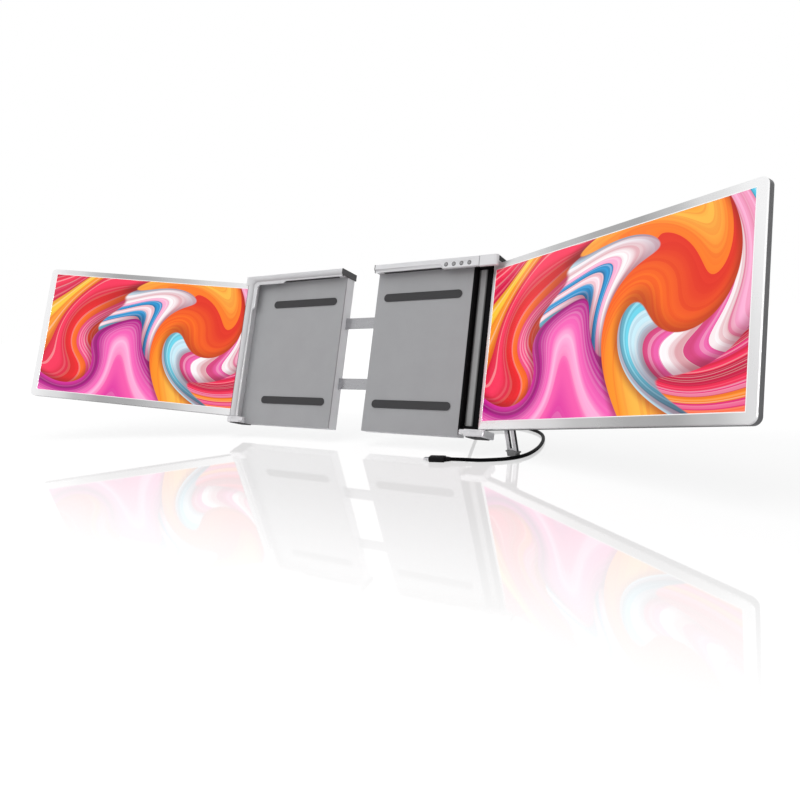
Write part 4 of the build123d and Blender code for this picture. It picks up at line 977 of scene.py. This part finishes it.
class TWINSCREENS_OT_lead(bpy.types.Operator):
    """The lead with its coil of spare length, the tie round it and the plug at each end"""

    bl_idname = "twinscreens.lead"
    bl_label = "Lead"

    def execute(self, context):
        settings = context.scene.twin_lead
        steps = math.ceil(COIL_TURNS * settings.turn_points)
        coil = [
            coil_point(COIL_TURNS * step / steps, settings.coil, settings.thickness)
            for step in range(steps + 1)
        ]
        route = [*FROM_SOCKET, *coil, *TO_LAPTOP]
        line = bpy.data.curves.new("lead", "CURVE")
        line.dimensions = "3D"
        spline = line.splines.new("NURBS")
        spline.points.add(len(route) - 1)
        for point, place in zip(spline.points, route):
            point.co = (*place, 1)
        spline.order_u = 3
        spline.use_endpoint_u = True
        spline.resolution_u = 6
        line.bevel_depth = settings.thickness / 2
        line.bevel_resolution = 5
        line.materials.append(soft_rubber("lead_sheath", (0.0025, 0.0025, 0.003), gloss=0.45, shine=0.02))
        lead = bpy.data.objects.new("lead", line)
        bpy.context.scene.collection.objects.link(lead)
        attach(lead, "right_half")
        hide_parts("cable_port_run", "cable_coil", "cable_laptop_run")
        tie = softened("cable_tie", "tie", hook_and_loop("tie_loops", (0.016, 0.016, 0.017)), 0.5 * MM)
        moulding = soft_rubber("plug_moulding", (0.004, 0.004, 0.0045), gloss=0.45, shine=0.12)
        metal = bright_metal("plug_metal", (0.62, 0.62, 0.64))
        plugs = [
            piece for node, place in PLUG_PLACES.items() for piece in self.plug(node, place, moulding, metal)
        ]
        return {"FINISHED"}

    def plug(self, node, place, moulding, metal):
        """A rounded body with a thumb dip on both sides, a ringed sleeve and a metal mouth with a tongue."""
        long = PLUG[1]
        form = block((0, -SLEEVE - long / 2, 0), PLUG)
        rounded(form, edges_along(form, "y"), PLUG_ROUND, 5)
        rounded(form, [edge for edge in form.edges if not edge_lies(edge, "y")], 0.5 * MM, 2)
        for way in (1, -1):
            flat = [face for face in form.faces if face.normal.z * way > 0.99]
            flat = [max(flat, key=lambda face: face.calc_area())]
            bmesh.ops.inset_region(form, faces=flat, thickness=DIP_RIM)
            bmesh.ops.inset_region(form, faces=flat, thickness=DIP_SLOPE, depth=-DIP_DEEP)
        sleeve = turned(SLEEVE_PROFILE)
        joined(form, sleeve)
        bmesh.ops.transform(form, matrix=place, verts=form.verts)
        mesh = from_bmesh(form, node)
        body = add_mesh(f"{node}_body", mesh, BODY_OF[node], moulding, (node,))
        front = -SLEEVE - long
        form = block((0, front - MOUTH[1] / 2, 0), MOUTH)
        rounded(form, edges_along(form, "y"), MOUTH_ROUND, 5)
        face = min(form.faces, key=lambda face: face.calc_center_median().y)
        bmesh.ops.inset_region(form, faces=[face], thickness=MOUTH_WALL)
        bmesh.ops.inset_region(form, faces=[face], thickness=0.02 * MM, depth=-MOUTH_DEEP)
        joined(form, block((0, front - TONGUE_OUT, 0), TONGUE))
        bmesh.ops.transform(form, matrix=place, verts=form.verts)
        mouth = add_mesh(f"{node}_mouth", from_bmesh(form, f"{node}_mouth"), BODY_OF[node], metal)
        return body, mouth


# Lamps: name, place, size, share of the main lamp's power, and whether it gives only highlights
LAMPS = (
    ("Key", (-1.1, -1.3, 2.4), 3.4, 1.0, False),
    ("Top", (0.2, 0.3, 2.6), 1.8, 0.3, False),
    ("Edge", (1.95, -0.98, 0.5), 0.35, 0.4, True),
)
AMBIENT = 0.42
FLOOR_RADIUS = 9.0
FLOOR_GLOW = (0.83, 0.83, 0.83, 1)
FLOOR_MATT = (0.29, 0.29, 0.29, 1)
# The floor glows brighter between these distances, and its mirror fades between these
GLOW_REACH = (0.6, 5.0)
MIRROR_REACH = (0.15, 0.52)
# The camera's place in millimetres, its turns, and its focal length in widths of the picture
CAMERA_PLACE = (535.42, -684.51, 142.14)
CAMERA_TURN = math.radians(33.2)
CAMERA_TILT = math.radians(7.17)
CAMERA_ROLL = math.radians(-2.81)
FOCAL = 700.9 / 800
SENSOR = 36.0


class TWINSCREENS_OT_studio(bpy.types.Operator):
    """Floor, light and camera"""

    bl_idname = "twinscreens.studio"
    bl_label = "Studio"

    def execute(self, context):
        settings = context.scene.twin_studio
        self.floor(settings.floor_shine)
        self.world()
        for name, place, size, share, highlight in LAMPS:
            self.lamp(name, place, size, settings.key_power * share, highlight)
        self.camera()
        return {"FINISHED"}

    def floor(self, shine):
        form = bmesh.new()
        bmesh.ops.create_circle(form, cap_ends=True, segments=96, radius=FLOOR_RADIUS)
        bmesh.ops.translate(form, verts=form.verts, vec=(0, 0, TABLE))
        mesh = bpy.data.meshes.new("floor")
        form.to_mesh(mesh)
        form.free()
        floor = bpy.data.objects.new("floor", mesh)
        bpy.context.scene.collection.objects.link(floor)
        finish = Finish("white_floor")
        tree = finish.tree
        finish.set(Base_Color=(0.86, 0.86, 0.87, 1), Roughness=0.6)
        # in view it is white but for the object's shadow
        glow = tree.nodes.new("ShaderNodeEmission")
        glow.inputs["Color"].default_value = FLOOR_GLOW
        reach = finish.vector("LENGTH", finish.place)
        finish.link(finish.spread(reach, *GLOW_REACH, 1.0, 1.2), glow.inputs["Strength"])
        matt = tree.nodes.new("ShaderNodeBsdfDiffuse")
        matt.inputs["Color"].default_value = FLOOR_MATT
        white = tree.nodes.new("ShaderNodeAddShader")
        finish.link(glow.outputs[0], white.inputs[0])
        finish.link(matt.outputs[0], white.inputs[1])
        # and a mirror that fades away from the object
        mirror = tree.nodes.new("ShaderNodeBsdfGlossy")
        mirror.inputs["Roughness"].default_value = 0.03
        split = tree.nodes.new("ShaderNodeSeparateXYZ")
        finish.link(finish.place, split.inputs[0])
        away = finish.maths("ABSOLUTE", split.outputs[1])
        gleam = finish.spread(away, *MIRROR_REACH, shine, 0.0, smooth=True)
        polished = tree.nodes.new("ShaderNodeMixShader")
        finish.link(gleam, polished.inputs[0])
        finish.link(white.outputs[0], polished.inputs[1])
        finish.link(mirror.outputs[0], polished.inputs[2])
        viewed = tree.nodes.new("ShaderNodeMixShader")
        finish.link(tree.nodes.new("ShaderNodeLightPath").outputs["Is Camera Ray"], viewed.inputs[0])
        finish.link(finish.surface.outputs[0], viewed.inputs[1])
        finish.link(polished.outputs[0], viewed.inputs[2])
        finish.link(viewed.outputs[0], finish.output.inputs[0])
        mesh.materials.append(finish.material)

    def world(self):
        world = bpy.data.worlds.new("studio")
        world.use_nodes = True
        tree = world.node_tree
        back = tree.nodes["Background"]
        path = tree.nodes.new("ShaderNodeLightPath")
        seen = path.outputs["Is Camera Ray"]
        for ray in ("Is Glossy Ray", "Is Transmission Ray"):
            either = tree.nodes.new("ShaderNodeMath")
            either.operation = "MAXIMUM"
            tree.links.new(seen, either.inputs[0])
            tree.links.new(path.outputs[ray], either.inputs[1])
            seen = either.outputs[0]
        level = tree.nodes.new("ShaderNodeMapRange")
        level.inputs["To Min"].default_value = AMBIENT
        level.inputs["To Max"].default_value = 1.0
        tree.links.new(seen, level.inputs[0])
        tree.links.new(level.outputs[0], back.inputs["Strength"])
        back.inputs["Color"].default_value = (1, 1, 1, 1)
        bpy.context.scene.world = world

    def lamp(self, name, place, size, power, highlight):
        data = bpy.data.lights.new(name, "AREA")
        data.size = size
        data.energy = power
        lamp = bpy.data.objects.new(name, data)
        lamp.location = place
        lamp.rotation_mode = "QUATERNION"
        lamp.rotation_quaternion = Vector(place).to_track_quat("Z", "Y")
        lamp.visible_glossy = highlight
        lamp.visible_diffuse = not highlight
        bpy.context.scene.collection.objects.link(lamp)

    def camera(self):
        data = bpy.data.cameras.new("camera")
        data.sensor_width = SENSOR
        data.lens = FOCAL * SENSOR
        camera = bpy.data.objects.new("camera", data)
        back = Vector(
            (
                math.sin(CAMERA_TURN) * math.cos(CAMERA_TILT),
                -math.cos(CAMERA_TURN) * math.cos(CAMERA_TILT),
                math.sin(CAMERA_TILT),
            )
        )
        right = (-back).cross(Vector((0, 0, 1))).normalized()
        up = right.cross(-back)
        wide = right * math.cos(CAMERA_ROLL) + up * math.sin(CAMERA_ROLL)
        high = up * math.cos(CAMERA_ROLL) - right * math.sin(CAMERA_ROLL)
        pose = Matrix((wide, high, back)).transposed().to_4x4()
        pose.translation = Vector(CAMERA_PLACE) * MM
        camera.matrix_world = pose
        bpy.context.scene.collection.objects.link(camera)
        bpy.context.scene.camera = camera


PIECES = (
    TWINSCREENS_OT_studio,
    TWINSCREENS_OT_lead,
    TWINSCREENS_OT_housings,
    TWINSCREENS_OT_screens,
    TWINSCREENS_OT_controls,
    TWINSCREENS_OT_stand,
)
SETTINGS = {
    "twin_finishes": FinishSettings,
    "twin_picture": PictureSettings,
    "twin_lead": LeadSettings,
    "twin_studio": StudioSettings,
}


class TWINSCREENS_PT_panel(bpy.types.Panel):
    """Sizes, colours and the buttons that build each group"""

    bl_label = "Twin Screens"
    bl_space_type = "VIEW_3D"
    bl_region_type = "UI"
    bl_category = "Twin Screens"

    def draw(self, context):
        for group in SETTINGS:
            settings = getattr(context.scene, group)
            box = self.layout.box()
            for name in settings.bl_rna.properties.keys():
                if name not in ("rna_type", "name"):
                    box.prop(settings, name)
        for piece in PIECES:
            self.layout.operator(piece.bl_idname)


def register():
    for settings in SETTINGS.values():
        bpy.utils.register_class(settings)
    for name, settings in SETTINGS.items():
        setattr(bpy.types.Scene, name, PointerProperty(type=settings))
    for piece in PIECES:
        bpy.utils.register_class(piece)
    bpy.utils.register_class(TWINSCREENS_PT_panel)


def unregister():
    bpy.utils.unregister_class(TWINSCREENS_PT_panel)
    for piece in reversed(PIECES):
        bpy.utils.unregister_class(piece)
    for name, settings in reversed(SETTINGS.items()):
        delattr(bpy.types.Scene, name)
        bpy.utils.unregister_class(settings)


def main():
    register()
    for piece in PIECES:
        group, name = piece.bl_idname.split(".")
        getattr(getattr(bpy.ops, group), name)()
    bpy.context.scene.view_settings.view_transform = "Standard"


if __name__ == "__main__":
    main()
